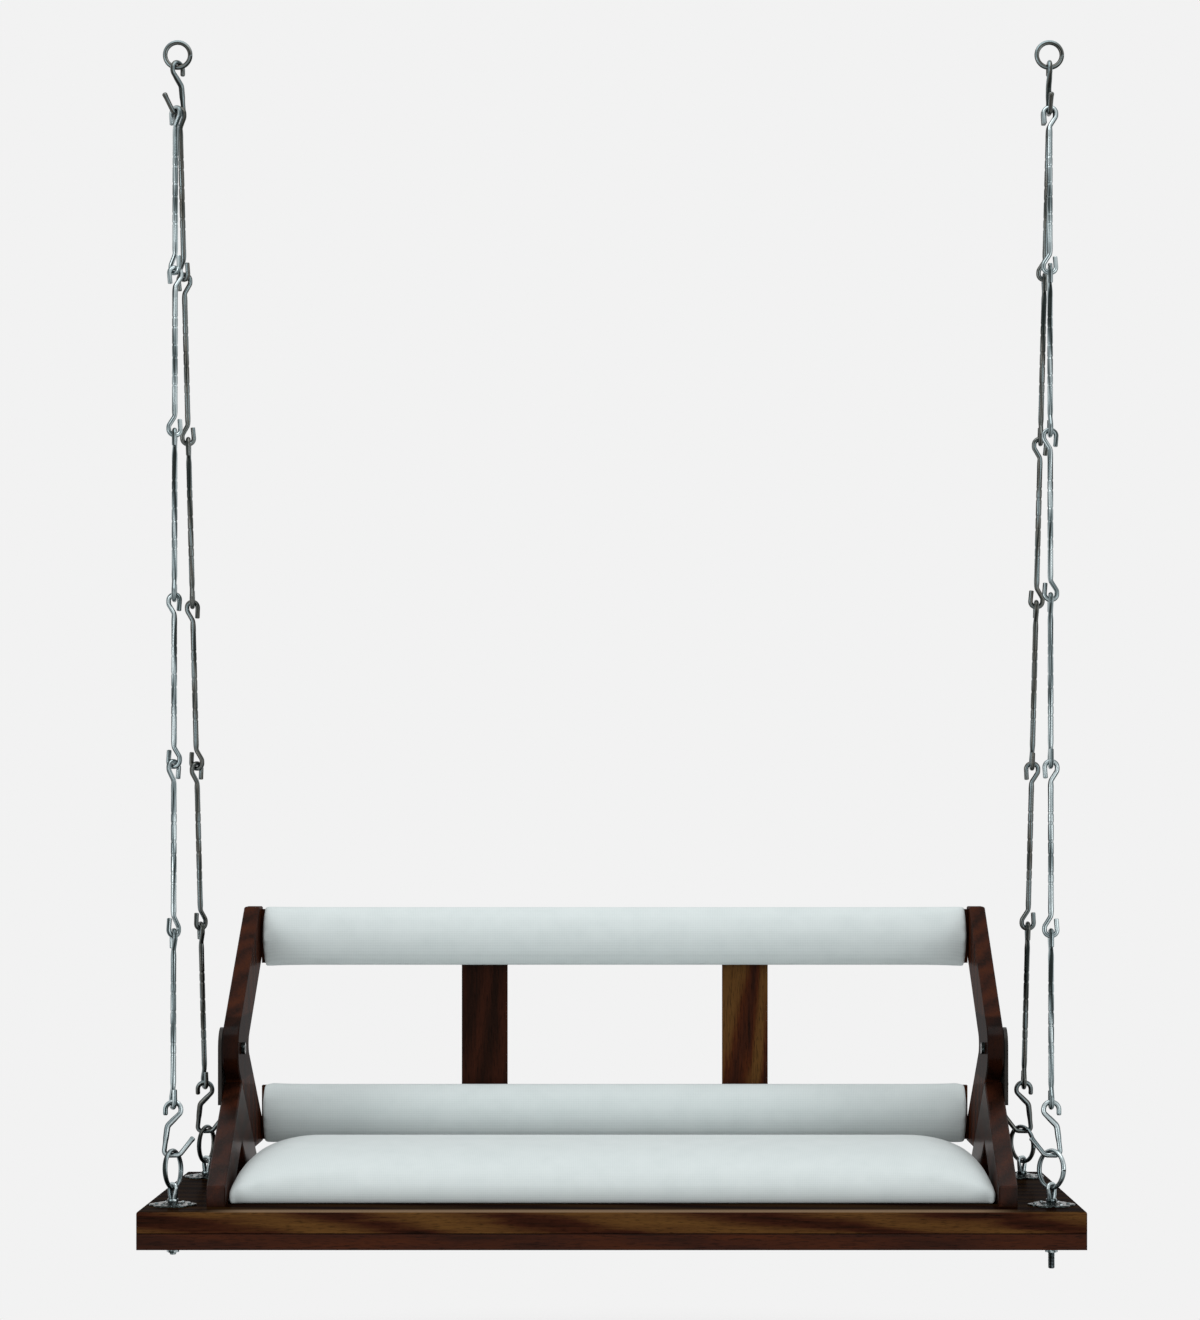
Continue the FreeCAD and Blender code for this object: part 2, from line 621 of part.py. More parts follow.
def wire_along(path, diameter, closed=False):
    """Wire with flat sides along a line of straight runs, mitred where the runs meet.

    Two corners of its section lie in the plane of the bends, which is the plane across Y.
    """
    sides = int(size("wire_sides"))
    count = len(path)
    sections = []
    for index, middle in enumerate(path):
        before = path[index - 1] if closed or index > 0 else middle
        after = path[(index + 1) % count] if closed or index < count - 1 else middle
        pieces = ((before, middle), (middle, after))
        runs = [(end - start).normalize() for start, end in pieces if start != end]
        ahead = sum(runs, Vector()).normalize()
        across = Vector(0, 1, 0).cross(ahead) / ahead.dot(runs[0])
        corners = []
        for step in range(sides):
            angle = 2 * math.pi * step / sides
            offset = across * math.cos(angle) + Vector(0, 1, 0) * math.sin(angle)
            corners.append(middle + offset * (diameter / 2))
        sections.append(corners)
    pairs = list(zip(sections, sections[1:]))
    faces = []
    if closed:
        pairs.append((sections[-1], sections[0]))
    else:
        faces = [Part.Face(Part.makePolygon(end + end[:1])) for end in (sections[0], sections[-1])]
    for start, end in pairs:
        for side in range(sides):
            other = (side + 1) % sides
            outline = (start[side], start[other], end[other], end[side], start[side])
            faces.append(Part.Face(Part.makePolygon(outline)))
    solid = Part.makeSolid(Part.makeShell(faces))
    solid.fix(1e-6, 1e-6, 1e-6)
    return solid


def bent_wire(corners, diameter):
    """Wire with each corner bent round an arc, the bend laid out in even mitres.

    Each corner is its distance beside and below the start of the line of pull, and its bend.
    """
    points = [Vector(beside, 0, -below) for beside, below, _ in corners]
    path = [points[0]]
    for index in range(1, len(points) - 1):
        corner = points[index]
        bend = corners[index][2]
        back = (points[index - 1] - corner).normalize()
        ahead = (points[index + 1] - corner).normalize()
        turn = math.pi - back.getAngle(ahead)
        centre = corner + (back + ahead).normalize() * (bend / math.cos(turn / 2))
        spoke = corner + back * (bend * math.tan(turn / 2)) - centre
        mitres = math.ceil(math.degrees(turn) / size("bend_step"))
        for step in range(mitres):
            swing = Rotation(ahead.cross(back), math.degrees(turn) * (step + 0.5) / mitres)
            path.append(centre + swing.multVec(spoke) / math.cos(turn / mitres / 2))
    path.append(points[-1])
    return wire_along(path, diameter)


def wire_ring(radius, diameter):
    """Welded ring of wire round the Y axis."""
    mitres = int(size("ring_mitres"))
    reach = radius / math.cos(math.pi / mitres)
    path = []
    for step in range(mitres):
        angle = 2 * math.pi * (step + 0.5) / mitres
        path.append(Vector(reach * math.cos(angle), 0, reach * math.sin(angle)))
    return wire_along(path, diameter, closed=True)


def hook_wire():
    """Hook with a round loop above and a wide bend with a straight tip below."""
    loop = size("hook_loop")
    height = size("hook_height")
    corners = (
        (-loop, size("hook_loop_tail"), 0),
        (-loop, 0, size("hook_loop_bend")),
        (loop, 0, size("hook_loop_bend")),
        (loop, size("hook_shoulder"), size("hook_shoulder_bend")),
        (-size("hook_waist_inset"), size("hook_waist"), size("hook_waist_bend")),
        (-size("hook_heel"), height, size("hook_heel_bend")),
        (size("hook_toe"), height, size("hook_toe_bend")),
        (size("hook_tip"), height - size("hook_tip_rise"), 0),
    )
    return bent_wire(corners, size("link_wire"))


def rod_wire(length):
    """Rod with an open eye at each end, the two ends alike when turned half round."""
    eye = size("rod_eye")
    upper = (
        (eye - size("rod_tail_lean"), size("rod_tail"), 0),
        (eye, 0, size("rod_eye_bend")),
        (-eye, 0, size("rod_eye_bend")),
        (-eye, size("rod_shoulder"), size("rod_shoulder_bend")),
        (0, size("rod_neck"), size("rod_neck_bend")),
    )
    lower = tuple((-beside, length - below, bend) for beside, below, bend in reversed(upper))
    return bent_wire(upper + lower, size("link_wire"))


def hook_bearing():
    """Height of a top hook's loop over the ceiling ring's centre."""
    ring_radius = (size("ring_outer") - size("ring_wire")) / 2
    return -ring_radius + size("ring_wire") / 2 + size("link_wire") / 2 + size("link_gap")


def hook_turn(way):
    """Turn of a top hook about the upright; its tip points to the front."""
    return -90 - (size("left_hook_turn") if way < 0 else 0)


def ceiling_rings():
    """Two welded rings, one over each end of the seat, with their holes facing the front."""
    rings = []
    for _, way in SIDES:
        ring = wire_ring((size("ring_outer") - size("ring_wire")) / 2, size("ring_wire"))
        ring.translate(Vector(way * number(RING_X), 0, 0))
        rings.append(ring)
    feature("ceiling_rings", Part.makeCompound(rings), Placement())


def top_hooks():
    """Hook in each ceiling ring, which carries the two chains of its side."""
    hooks = []
    for _, way in SIDES:
        hook = hook_wire()
        hook.rotate(Vector(), Vector(0, 0, 1), hook_turn(way))
        hook.translate(Vector(way * number(RING_X), 0, hook_bearing()))
        hooks.append(hook)
    feature("top_hooks", Part.makeCompound(hooks), Placement())


def placed(shape, turn, below):
    """Copy of a link, turned about the line of pull and moved down it."""
    link = shape.copy()
    link.rotate(Vector(), Vector(0, 0, 1), turn)
    link.translate(Vector(0, 0, -below))
    return link


def chain(way, turn):
    """Links of one chain along its own line, and the place of that line.

    The links bear on each other wire on wire. The rods share what the hook and the ring leave of
    the distance from the top hook to the eyebolt.
    """
    bearing = size("link_wire") + size("link_gap")
    tie_wire = size("tie_ring_wire")
    tie_radius = (size("tie_ring_outer") - tie_wire) / 2
    hook_on_ring = (size("link_wire") + tie_wire) / 2 + size("link_gap")
    ring_in_eye = (tie_wire + size("eye_wire")) / 2 + size("link_gap")
    height = size("hook_height")
    heading = math.radians(hook_turn(way))
    beside = -turn * size("pair_pitch") / 2
    top = Vector(
        way * number(RING_X) + beside * math.cos(heading),
        beside * math.sin(heading),
        hook_bearing() - height,
    )
    bottom = Vector(
        way * number(EYE_X),
        turn * number(EYE_Y) - size("hang_setback"),
        -size("seat_drop") + size("eye_pin_height"),
    )
    span = (bottom - top).Length
    count = int(size("rods_per_chain"))
    pitch = (span + bearing - height + hook_on_ring - 2 * tie_radius + ring_in_eye) / count
    first_turn = size("left_rod_turn") if way < 0 else 0
    last_turn = 360 if way < 0 else 540
    turn_step = (last_turn - first_turn) / count
    rod = rod_wire(pitch + bearing)
    links = [
        placed(rod, first_turn + index * turn_step, index * pitch - bearing) for index in range(count)
    ]
    hook_top = count * pitch - bearing
    links.append(placed(hook_wire(), last_turn, hook_top))
    ring_middle = hook_top + height - hook_on_ring + tie_radius
    tie_turn = size("left_tie_turn") if way < 0 else -size("right_tie_turn")
    links.append(placed(wire_ring(tie_radius, tie_wire), tie_turn, ring_middle))
    upward = (top - bottom).normalize()
    across = (Vector(1, 0, 0) - upward * upward.x).normalize()
    return Part.makeCompound(links), Placement(top, Rotation(across, upward.cross(across), upward, "ZXY"))


def chains():
    """Front and back chain at each side."""
    for side, way in SIDES:
        for end, turn in ENDS:
            links, place = chain(way, turn)
            feature(f"{end}_{side}_chain", links, place)


# Back rest

def arms():
    """Crooked side arm, bent round the pivot, with an upper and a lower limb."""
    half = "Sizes.arm_width / 2"
    bend = f"({half} / sin(Sizes.slope))"
    rear = f"(({BOARD_BACK} - {bend}) * tan(Sizes.slope))"

    def front(height):
        return f"({height} / tan(Sizes.slope) - {bend})"
    corners = (
        (f"-{bend}", "0"),
        (front("Sizes.arm_foot"), "-Sizes.arm_foot"),
        (BOARD_BACK, "-Sizes.arm_foot"),
        (BOARD_BACK, f"-{rear}"),
        (bend, "0"),
        (BOARD_BACK, rear),
        (BOARD_BACK, "Sizes.arm_top"),
        (front("Sizes.arm_top"), "Sizes.arm_top"),
    )
    for side, way in SIDES:
        body = board(f"{side}_arm", corners, "Sizes.arm_thickness")
        round_edges(body, half, along_x(-number(bend), 0))
        round_edges(body, "Sizes.arm_crook", along_x(number(bend), 0))
        bevel_edges(body, "Sizes.wood_ease", on_end_faces(size("arm_thickness")))
        holes(body, "YZ_Plane", [("0", "0")], "Sizes.pivot_diameter / 2 + Sizes.pivot_clearance")
        put(body, x=f"{way} * {ARM_MIDDLE}", z=PIVOT_Z)
        keep(body, f"{side}_arm")


PAD_BASES = (
    ("upper", "Sizes.upper_pad_base"),
    ("lower", "-Sizes.lower_pad_top - Sizes.pad_height"),
)


def back_boards():
    """Board between the arms behind each pad, and two upright slats that tie the boards together."""
    for name, base in PAD_BASES:
        low = f"{base} + Sizes.board_inset"
        high = f"{base} + Sizes.pad_height - Sizes.board_inset"
        corners = rectangle(PAD_BACK, BOARD_BACK, low, high)
        body = board(f"{name}_back_board", corners, f"2 * {ARM_INSIDE}")
        put(body, z=PIVOT_Z)
        keep(body, f"{name}_back_board")
    low = f"{PAD_BASES[1][1]} + Sizes.slat_margin"
    high = f"{PAD_BASES[0][1]} + Sizes.pad_height - Sizes.slat_margin"
    for side, way in SIDES:
        corners = rectangle(BOARD_BACK, f"{BOARD_BACK} + Sizes.slat_thickness", low, high)
        body = board(f"{side}_slat", corners, "Sizes.slat_width")
        back_y = number(f"{BOARD_BACK} + Sizes.slat_thickness")

        def rear_edge(edge):
            return abs(edge.BoundBox.YMin - back_y) < 0.01
        bevel_edges(body, "Sizes.wood_ease", rear_edge)
        put(body, x=f"{way} * Sizes.slat_offset", z=PIVOT_Z)
        keep(body, f"{side}_slat")


def end_stations(half_length, end_length):
    """Places along a soft piece with its fullness there, which falls as a cosine towards each end."""
    steps = 3
    upper = []
    for step in range(steps + 1):
        x = half_length - end_length * (1 - step / steps)
        upper.append((x, math.cos(math.radians(size("end_fall") * step / steps))))
    return [(-x, fullness) for x, fullness in reversed(upper)] + upper


def loft(sections):
    """Solid through closed outlines, straight from each to the next."""
    return Part.makeLoft(sections, True, True)


def pad_section(x, base, taper):
    """Outline of a back pad: flat behind, with an even crown in front."""
    back = number(PAD_BACK)
    edge = back - size("pad_edge")
    crest = size("pad_front") + taper
    low = base + taper
    high = base + size("pad_height") - taper
    corners = [Vector(x, back, low), Vector(x, back, high), Vector(x, edge, high), Vector(x, edge, low)]
    crown = Part.Arc(corners[2], Vector(x, crest, (low + high) / 2), corners[3]).toShape()
    runs = [Part.LineSegment(corners[index], corners[(index + 1) % 4]).toShape() for index in (3, 0, 1)]
    return Part.Wire(runs + [crown])


def back_pads():
    """Padded rail across the back, drawn in a little at both ends."""
    half = number(ARM_INSIDE) - size("pad_inset")
    for name, base in PAD_BASES:
        sections = []
        for x, fullness in end_stations(half, size("pad_shoulder")):
            sections.append(pad_section(x, number(base), size("pad_taper") * (1 - fullness)))
        place = Vector(0, number(SEAT_Y), number(PIVOT_Z))
        feature(f"{name}_pad", loft(sections), Placement(place, Rotation()))


# Seat cushion

def cushion_section(x, half_depth, crown):
    """Outline of the cushion across the seat: flat below, a low rim, rounded brows and a crowned top."""
    rim = size("cushion_edge")
    brow = size("cushion_brow")
    rise = crown - rim
    brow_height = rim + rise * (1 - size("cushion_sink") / (size("cushion_crown") - rim))
    swell = Vector(0, -brow * 0.2, rise * 0.2)
    front, back = Vector(x, -half_depth, 0), Vector(x, half_depth, 0)
    front_rim, back_rim = Vector(x, -half_depth, rim), Vector(x, half_depth, rim)
    front_brow = Vector(x, brow - half_depth, brow_height)
    back_brow = Vector(x, half_depth - brow, brow_height)
    front_middle = (front_rim + front_brow) * 0.5 + swell
    back_middle = Vector(x, -front_middle.y, front_middle.z)
    return Part.Wire([
        Part.LineSegment(front, back).toShape(),
        Part.LineSegment(back, back_rim).toShape(),
        Part.Arc(back_rim, back_middle, back_brow).toShape(),
        Part.Arc(back_brow, Vector(x, 0, crown), front_brow).toShape(),
        Part.Arc(front_brow, front_middle, front_rim).toShape(),
        Part.LineSegment(front_rim, front).toShape(),
    ])


def seat_cushion():
    """Loose cushion between the leg frames: crowned, with rounded ends and drawn-in long sides."""
    half_length = number(LEG_INSIDE) - size("cushion_gap")
    rise = size("cushion_crown") - size("cushion_edge")
    stations = end_stations(half_length, size("cushion_round"))
    stations.insert(len(stations) // 2, (0, 1))
    sections = []
    for x, fullness in stations:
        half_depth = number(CUSHION_HALF) - size("cushion_draw") * (1 - (x / half_length) ** 2)
        sections.append(cushion_section(x, half_depth, size("cushion_edge") + rise * fullness))
    feature("seat_cushion", loft(sections), Placement(Vector(0, number(SEAT_Y), number(SEAT_Z)), Rotation()))


def check_document():
    """Stop if any object failed or any piece has no valid solid."""
    for item in doc.Objects:
        if "Invalid" in item.State or "Error" in item.State:
            raise RuntimeError(f"{item.Name}: {item.State} {item.getStatusString()}")
    for item in nodes:
        if item.Shape.isNull() or not item.Shape.isValid() or not item.Shape.Solids:
            raise RuntimeError(f"{item.Label}: no valid solid")


def write_parts():
    """Write each piece to a file of its own name."""
    os.makedirs("parts", exist_ok=True)
    for item in nodes:
        item.Shape.exportStep(os.path.join("parts", f"{item.Label}.step"))


fill_sheet()
ceiling_rings()
top_hooks()
chains()
deck_boards()
under_frame()
leg_frames()
pivot_plates()
pivot_hardware()
eyebolts()
rosettes()
nuts_under_plank()
seat_cushion()
arms()
back_boards()
back_pads()
doc.recompute()
check_document()
write_parts()
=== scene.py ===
import json
import math

import bmesh
import bpy
import numpy as np
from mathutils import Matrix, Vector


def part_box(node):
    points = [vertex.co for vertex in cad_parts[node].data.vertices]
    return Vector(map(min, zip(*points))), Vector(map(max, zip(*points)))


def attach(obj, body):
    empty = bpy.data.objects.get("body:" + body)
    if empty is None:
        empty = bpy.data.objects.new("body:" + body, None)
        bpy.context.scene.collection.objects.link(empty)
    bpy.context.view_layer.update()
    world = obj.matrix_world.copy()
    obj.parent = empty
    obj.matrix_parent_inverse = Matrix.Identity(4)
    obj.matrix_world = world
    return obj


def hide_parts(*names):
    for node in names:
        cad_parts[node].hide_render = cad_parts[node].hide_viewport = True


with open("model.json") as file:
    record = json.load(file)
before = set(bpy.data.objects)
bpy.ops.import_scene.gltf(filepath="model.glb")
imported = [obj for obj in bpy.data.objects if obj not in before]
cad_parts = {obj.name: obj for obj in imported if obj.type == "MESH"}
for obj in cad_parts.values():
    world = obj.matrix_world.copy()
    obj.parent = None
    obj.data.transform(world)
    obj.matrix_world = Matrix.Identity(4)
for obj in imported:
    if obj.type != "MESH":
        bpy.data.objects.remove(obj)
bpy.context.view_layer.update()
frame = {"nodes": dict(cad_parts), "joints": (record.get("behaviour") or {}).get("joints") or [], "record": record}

bl_info = {
    "name": "Hanging swing seat",
    "version": (1, 0, 0),
    "blender": (4, 5, 0),
    "location": "View3D > Sidebar > Swing",
    "description": "Dresses a hanging wooden swing seat with chains, lacquered wood, cushions and a studio",
    "category": "Object",
}

JOINTS = {joint["name"]: np.array(joint["pos_m"]) for joint in frame["joints"]}
MOUNTS = {mount["name"]: np.array(mount["pos_m"]) for mount in frame["record"]["mounts"]}
PIVOT = JOINTS["backrest_flip"]
DECK_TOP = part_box("deck_board_1")[1][2]
DECK_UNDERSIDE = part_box("front_rail")[0][2]
SIDES = (("left", -1), ("right", 1))
ENDS = (("front", -1), ("back", 1))
ROSETTE_LOBES = 6

# Metres: pressed plate, bolts below the plank, smooth step of a radius, cloth off the wood
ROSETTE_HEIGHT = 0.0055
SHORT_TAIL, LONG_TAIL = 0.018, 0.040
STEP_LENGTH = 0.002
COVER_GAP = 0.0005

# Growth bands, streaks and pores to the metre across the grain
BANDS, STREAKS, PORES = 33, 230, 900

# Frames of the cloth simulation, sensor in millimetres, height of the picture in pixels
FILL_FRAMES = 20
SENSOR = 36
FRAME_HEIGHT = 1320


def linear(hex_colour):
    """Linear red, green, blue and alpha of an sRGB hex colour."""
    parts = np.array([int(hex_colour[start:start + 2], 16) for start in (1, 3, 5)]) / 255
    low = parts / 12.92
    high = ((parts + 0.055) / 1.055) ** 2.4
    return (*np.where(parts <= 0.04045, low, high).tolist(), 1.0)


def length_property(name, default, description):
    """Length in metres that a user may change."""
    return bpy.props.FloatProperty(
        name=name, description=description, default=default, min=0, unit="LENGTH", precision=4,
    )


def angle_property(name, degrees, description):
    """Angle that a user may change, given in degrees."""
    return bpy.props.FloatProperty(
        name=name, description=description, default=math.radians(degrees), subtype="ANGLE",
    )


def colour_property(name, hex_colour, description):
    """Colour that a user may change, given as an sRGB hex value."""
    return bpy.props.FloatVectorProperty(
        name=name, description=description, default=linear(hex_colour), size=4, min=0, max=1, subtype="COLOR",
    )


class SwingChainSizes(bpy.types.PropertyGroup):
    """Sizes of the hanging gear."""
    link_wire: length_property("Link wire", 0.008, "Diameter of the rods and hooks")
    link_gap: length_property("Link gap", 0.0004, "Clearance where two links bear on each other")
    ring_outer: length_property("Ceiling ring", 0.050, "Outer diameter of the ceiling rings")
    tie_outer: length_property("Tie ring", 0.067, "Outer diameter of the rings on the eyebolts")
    tie_wire: length_property("Tie ring wire", 0.0065, "Wire of the rings on the eyebolts")
    hook_height: length_property("Hook height", 0.085, "Loop to bend of a hook, on the wire's middle")
    pair_pitch: length_property("Pair pitch", 0.0108, "Two rods side by side on a top hook")
    eye_spacing: length_property("Eyebolt spacing", 0.420, "Front eyebolt to back eyebolt")
    thicker: length_property("Thicker shank", 0.0008, "Added to the radius of a link away from its bearings")
    groove_depth: length_property("Groove depth", 0.0006, "Turned grooves of the rods")
    rib_depth: length_property("Rib depth", 0.0003, "Fine ribs of the rods")
    rib_pitch: length_property("Rib pitch", 0.0026, "Spacing of the fine ribs")
    left_hook_turn: angle_property("Left hook turn", 35, "Left top hook out of the plane across the seat")
    left_rod_turn: angle_property("Left rod turn", -40, "First left rod about its line")
    left_tie_turn: angle_property("Left tie ring turn", 73, "Rings on the left eyebolts about their line")
    right_tie_turn: angle_property("Right tie ring turn", -57, "Rings on the right eyebolts about their line")
    eye_wire: length_property("Eye wire", 0.0065, "Wire of the eyebolts' eyes")
    eye_width: length_property("Eye width", 0.020, "Width of an eye at its top, on the wire's middle")
    eye_turn: angle_property("Eye turn", -45, "Left eyes about their bolts")
    bolt: length_property("Bolt", 0.011, "Diameter of the eyebolts' shanks")


class SwingCushionSizes(bpy.types.PropertyGroup):
    """Sizes of the padded pieces."""
    voxel: length_property("Cloth grid", 0.006, "Spacing of the cloth's points")
    seat_swell: length_property("Seat swell", 0.005, "How far the filling may push the seat's cloth out")
    seat_settle: length_property("Seat settle", 0.0045, "Seat's crown below that of the fresh filling")
    pad_swell: length_property("Pad swell", 0.003, "How far the filling may push the back pads' cloth out")
    start_gap: length_property("Start gap", 0.003, "How much smaller the sewn cover is than the filled pad")
    thread: length_property("Thread", 0.0015, "Thread spacing, coarser than the real cloth's")


class SwingFinishes(bpy.types.PropertyGroup):
    """Colours of the finishes."""
    wood_dark: colour_property("Wood, dark grain", "#1d0f09", "Late wood under dark stain")
    wood_plain: colour_property("Wood, plain", "#34190f", "Plain stained wood")
    wood_red: colour_property("Wood, red", "#43200f", "Redder grain of the plain pieces")
    wood_warm: colour_property("Wood, warm", "#482d17", "Early wood under dark stain")
    wood_honey: colour_property("Wood, honey", "#5a3d1e", "Lightest figure under dark stain")
    # Wood, rubbed is the colour of a painted reflection: the lit cushion mirrored along the plank's front edge
    wood_painted_reflection: colour_property("Wood, rubbed", "#7a644e", "Front edge of the plank, rubbed by legs")
    # Bright and dark steel are a painted highlight and a painted dark reflection, streaked along the bars; mid
    # lies between them
    steel: colour_property("Bright steel", "#b4bfc1", "Bright streaks of plated steel bar")
    steel_mid: colour_property("Bright steel, mid", "#6d7a7d", "Plated steel between its streaks")
    steel_dark_reflection: colour_property("Bright steel, dark", "#1d2423", "Dark streaks of plated steel bar")
    # Dull steel is painted shade: a darker copy of plated steel for the back chains, also worn by the top hooks
    # and rings
    steel_shaded: colour_property("Dull steel", "#55544f", "Plated steel that handling has dulled")
    plate: colour_property("Dark plate", "#1b1815", "Blackened steel plate")
    cloth: colour_property("Cloth", "#d7e0e0", "Pale woven cover")
    cloth_shade: colour_property("Cloth, weft", "#cdd7d7", "Shaded threads of the cover")


class SwingStage(bpy.types.PropertyGroup):
    """Camera and studio."""
    camera_side: length_property("Camera side", 0.047, "Camera to the right of the seat's middle")
    camera_height: length_property("Camera height", 0.627, "Camera above the plank's top")
    camera_distance: length_property("Camera distance", 5.310, "Camera in front of the plank's front edge")
    focal_pixels: bpy.props.FloatProperty(
        name="Focal length", description="Focal length in pixels of the 1320 pixel high frame", default=3369,
    )
    axis_across: bpy.props.FloatProperty(
        name="Axis across", description="Optical axis right of the frame's middle, in pixels", default=41.5,
    )
    axis_down: bpy.props.FloatProperty(
        name="Axis down", description="Optical axis below the frame's middle, in pixels", default=154,
    )
    backdrop: colour_property("Backdrop", "#f2f2f2", "Plain backdrop")
    floor_drop: length_property("Floor drop", 0.52, "Floor below the plank's top")


# Meshes

def unit(vectors):
    """Vectors scaled to length one."""
    return vectors / np.linalg.norm(vectors, axis=-1, keepdims=True)


def circle(count):
    """Evenly spaced angles once round."""
    return np.linspace(0, 2 * math.pi, count, endpoint=False)


def bent_line(corners, spacing):
    """Middle line of bent wire in its own plane, evenly spaced.

    Straight runs are joined by tangent arcs: at a corner that turns by a with bend r, each run stops
    r tan(a/2) short of the corner, and the arc's centre lies r / cos(a/2) from it on the bisector.
    """
    points = np.array([corner[:2] for corner in corners])
    parts = [points[:1]]
    for index in range(1, len(points) - 1):
        corner, bend = points[index], corners[index][2]
        back = unit(points[index - 1] - corner)
        ahead = unit(points[index + 1] - corner)
        turn = math.pi - math.acos(np.dot(back, ahead))
        centre = corner + unit(back + ahead) * bend / math.cos(turn / 2)
        spoke = corner + back * bend * math.tan(turn / 2) - centre
        way = np.sign(back[1] * ahead[0] - back[0] * ahead[1])
        angle = way * np.linspace(0, turn, 24)
        turned_x = np.cos(angle) * spoke[0] - np.sin(angle) * spoke[1]
        turned_z = np.sin(angle) * spoke[0] + np.cos(angle) * spoke[1]
        parts.append(centre + np.stack([turned_x, turned_z], axis=1))
    parts.append(points[-1:])
    line = np.concatenate(parts)
    travel = np.concatenate([[0], np.cumsum(np.linalg.norm(np.diff(line, axis=0), axis=1))])
    stations = np.linspace(0, travel[-1], int(travel[-1] / spacing))
    return np.stack([np.interp(stations, travel, line[:, axis]) for axis in (0, 1)], axis=1)


def wire_grid(line, radius, around=14):
    """Round wire along a flat line: C + r (cos a N + sin a Y), with N across the run in its plane.

    At each cut end the radius follows a small quarter circle, so that the edge is rounded.
    """
    ahead = unit(np.gradient(line, axis=0))
    across = np.stack([-ahead[:, 1], ahead[:, 0]], axis=1)
    angle = circle(around)
    radius = np.broadcast_to(radius, len(line)).copy()
    radius[[0, -1]] *= 0.62
    radius[[1, -2]] *= 0.93
    spread = radius[:, None] * np.cos(angle)
    x = line[:, :1] + spread * across[:, :1]
    y = radius[:, None] * np.sin(angle)
    z = line[:, 1:] + spread * across[:, 1:]
    return np.stack([x, y, z], axis=-1)


def ring_grid(radius, wire, fuller):
    """Welded ring round the Y axis: the circle of the wire carried round a circle.

    Above and below, where links bear, the wire is bare, and at turn t it is fuller by a share of cos^2 t.
    """
    turn = circle(48)[:, None]
    angle = circle(14)[None, :]
    thick = wire / 2 + fuller * np.cos(turn) ** 2
    reach = radius + thick * np.cos(angle)
    y = thick * np.sin(angle)
    return np.stack([reach * np.cos(turn), y, reach * np.sin(turn)], axis=-1)


def turned_grid(profile, around=24):
    """Turned piece: each radius and height of the profile carried round the Z axis."""
    radius, height = np.array(profile).T
    angle = circle(around)
    x = radius[:, None] * np.cos(angle)
    y = radius[:, None] * np.sin(angle)
    return np.stack([x, y, np.broadcast_to(height[:, None], x.shape)], axis=-1)


def skin(grid, closed=False):
    """Points, faces and bar coordinates of a grid that closes round its second side.

    Open ends get a flat cap. The bar coordinates are the cosine and sine of the way round and the
    distance along, so that a finish can follow the bar.
    """
    rows, around = grid.shape[:2]
    index = np.arange(rows * around).reshape(rows, around)
    caps = [] if closed else [index[:1], index[-1:]]
    if closed:
        index = np.concatenate([index, index[:1]])
    beside = np.roll(index, -1, axis=1)
    quads = np.stack([index[:-1], beside[:-1], beside[1:], index[1:]], axis=-1).reshape(-1, 4)
    steps = np.linalg.norm(np.diff(grid.mean(axis=1), axis=0), axis=1)
    travel = np.concatenate([[0], np.cumsum(steps)])[:, None]
    angle = circle(around)[None, :]
    bar = np.stack(np.broadcast_arrays(np.cos(angle), np.sin(angle), travel), axis=-1)
    return grid.reshape(-1, 3), [quads] + caps, bar.reshape(-1, 3)


def upright_turn(angle):
    """Matrix of a turn about the upright."""
    cosine, sine = math.cos(angle), math.sin(angle)
    return np.array([[cosine, -sine, 0], [sine, cosine, 0], [0, 0, 1]])


def placed(shape, place, axes=np.eye(3)):
    """Shape moved to a place, with its axes turned to the columns of a matrix."""
    points, faces, bar = shape
    return points @ axes.T + place, faces, bar


def make_piece(name, shapes, material, body, nodes=()):
    """One object of several closed shapes that rides on a body and stands for CAD nodes."""
    mesh = bpy.data.meshes.new(name)
    points = np.concatenate([shape[0] for shape in shapes])
    bar = np.concatenate([shape[2] for shape in shapes])
    faces = []
    offset = 0
    for shape in shapes:
        for block in shape[1]:
            faces += (block + offset).tolist()
        offset += len(shape[0])
    mesh.from_pydata(points.tolist(), [], faces)
    along = mesh.attributes.new("bar", "FLOAT_VECTOR", "POINT")
    along.data.foreach_set("vector", bar.astype(np.float32).ravel())
    shell = bmesh.new()
    shell.from_mesh(mesh)
    bmesh.ops.recalc_face_normals(shell, faces=shell.faces)
    shell.to_mesh(mesh)
    shell.free()
    mesh.shade_smooth()
    mesh.set_sharp_from_angle(angle=math.radians(50))
    mesh.materials.append(material)
    piece = bpy.data.objects.new(name, mesh)
    bpy.context.scene.collection.objects.link(piece)
    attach(piece, body)
    if nodes:
        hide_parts(*nodes)
    return piece


# Finishes

def add(tree, kind, sockets=None, stops=None, **settings):
    """Add a node with its settings; a socket takes a value or the output that feeds it."""
    item = tree.nodes.new(kind)
    for key, value in settings.items():
        setattr(item, key, value)
    for key, value in (sockets or {}).items():
        if isinstance(value, bpy.types.NodeSocket):
            tree.links.new(value, item.inputs[key])
        else:
            item.inputs[key].default_value = value
    for index, (place, colour) in enumerate(stops or ()):
        ramp = item.color_ramp.elements
        stop = ramp[index] if index < 2 else ramp.new(place)
        stop.position = place
        stop.color = colour
    return item


def new_material(name):
    """Empty node material and its node tree."""
    material = bpy.data.materials.new(name)
    material.use_nodes = True
    material.node_tree.nodes.clear()
    return material, material.node_tree


def finish_material(tree, shader):
    """Join a shader to the material's output."""
    add(tree, "ShaderNodeOutputMaterial", {"Surface": shader.outputs[0]})


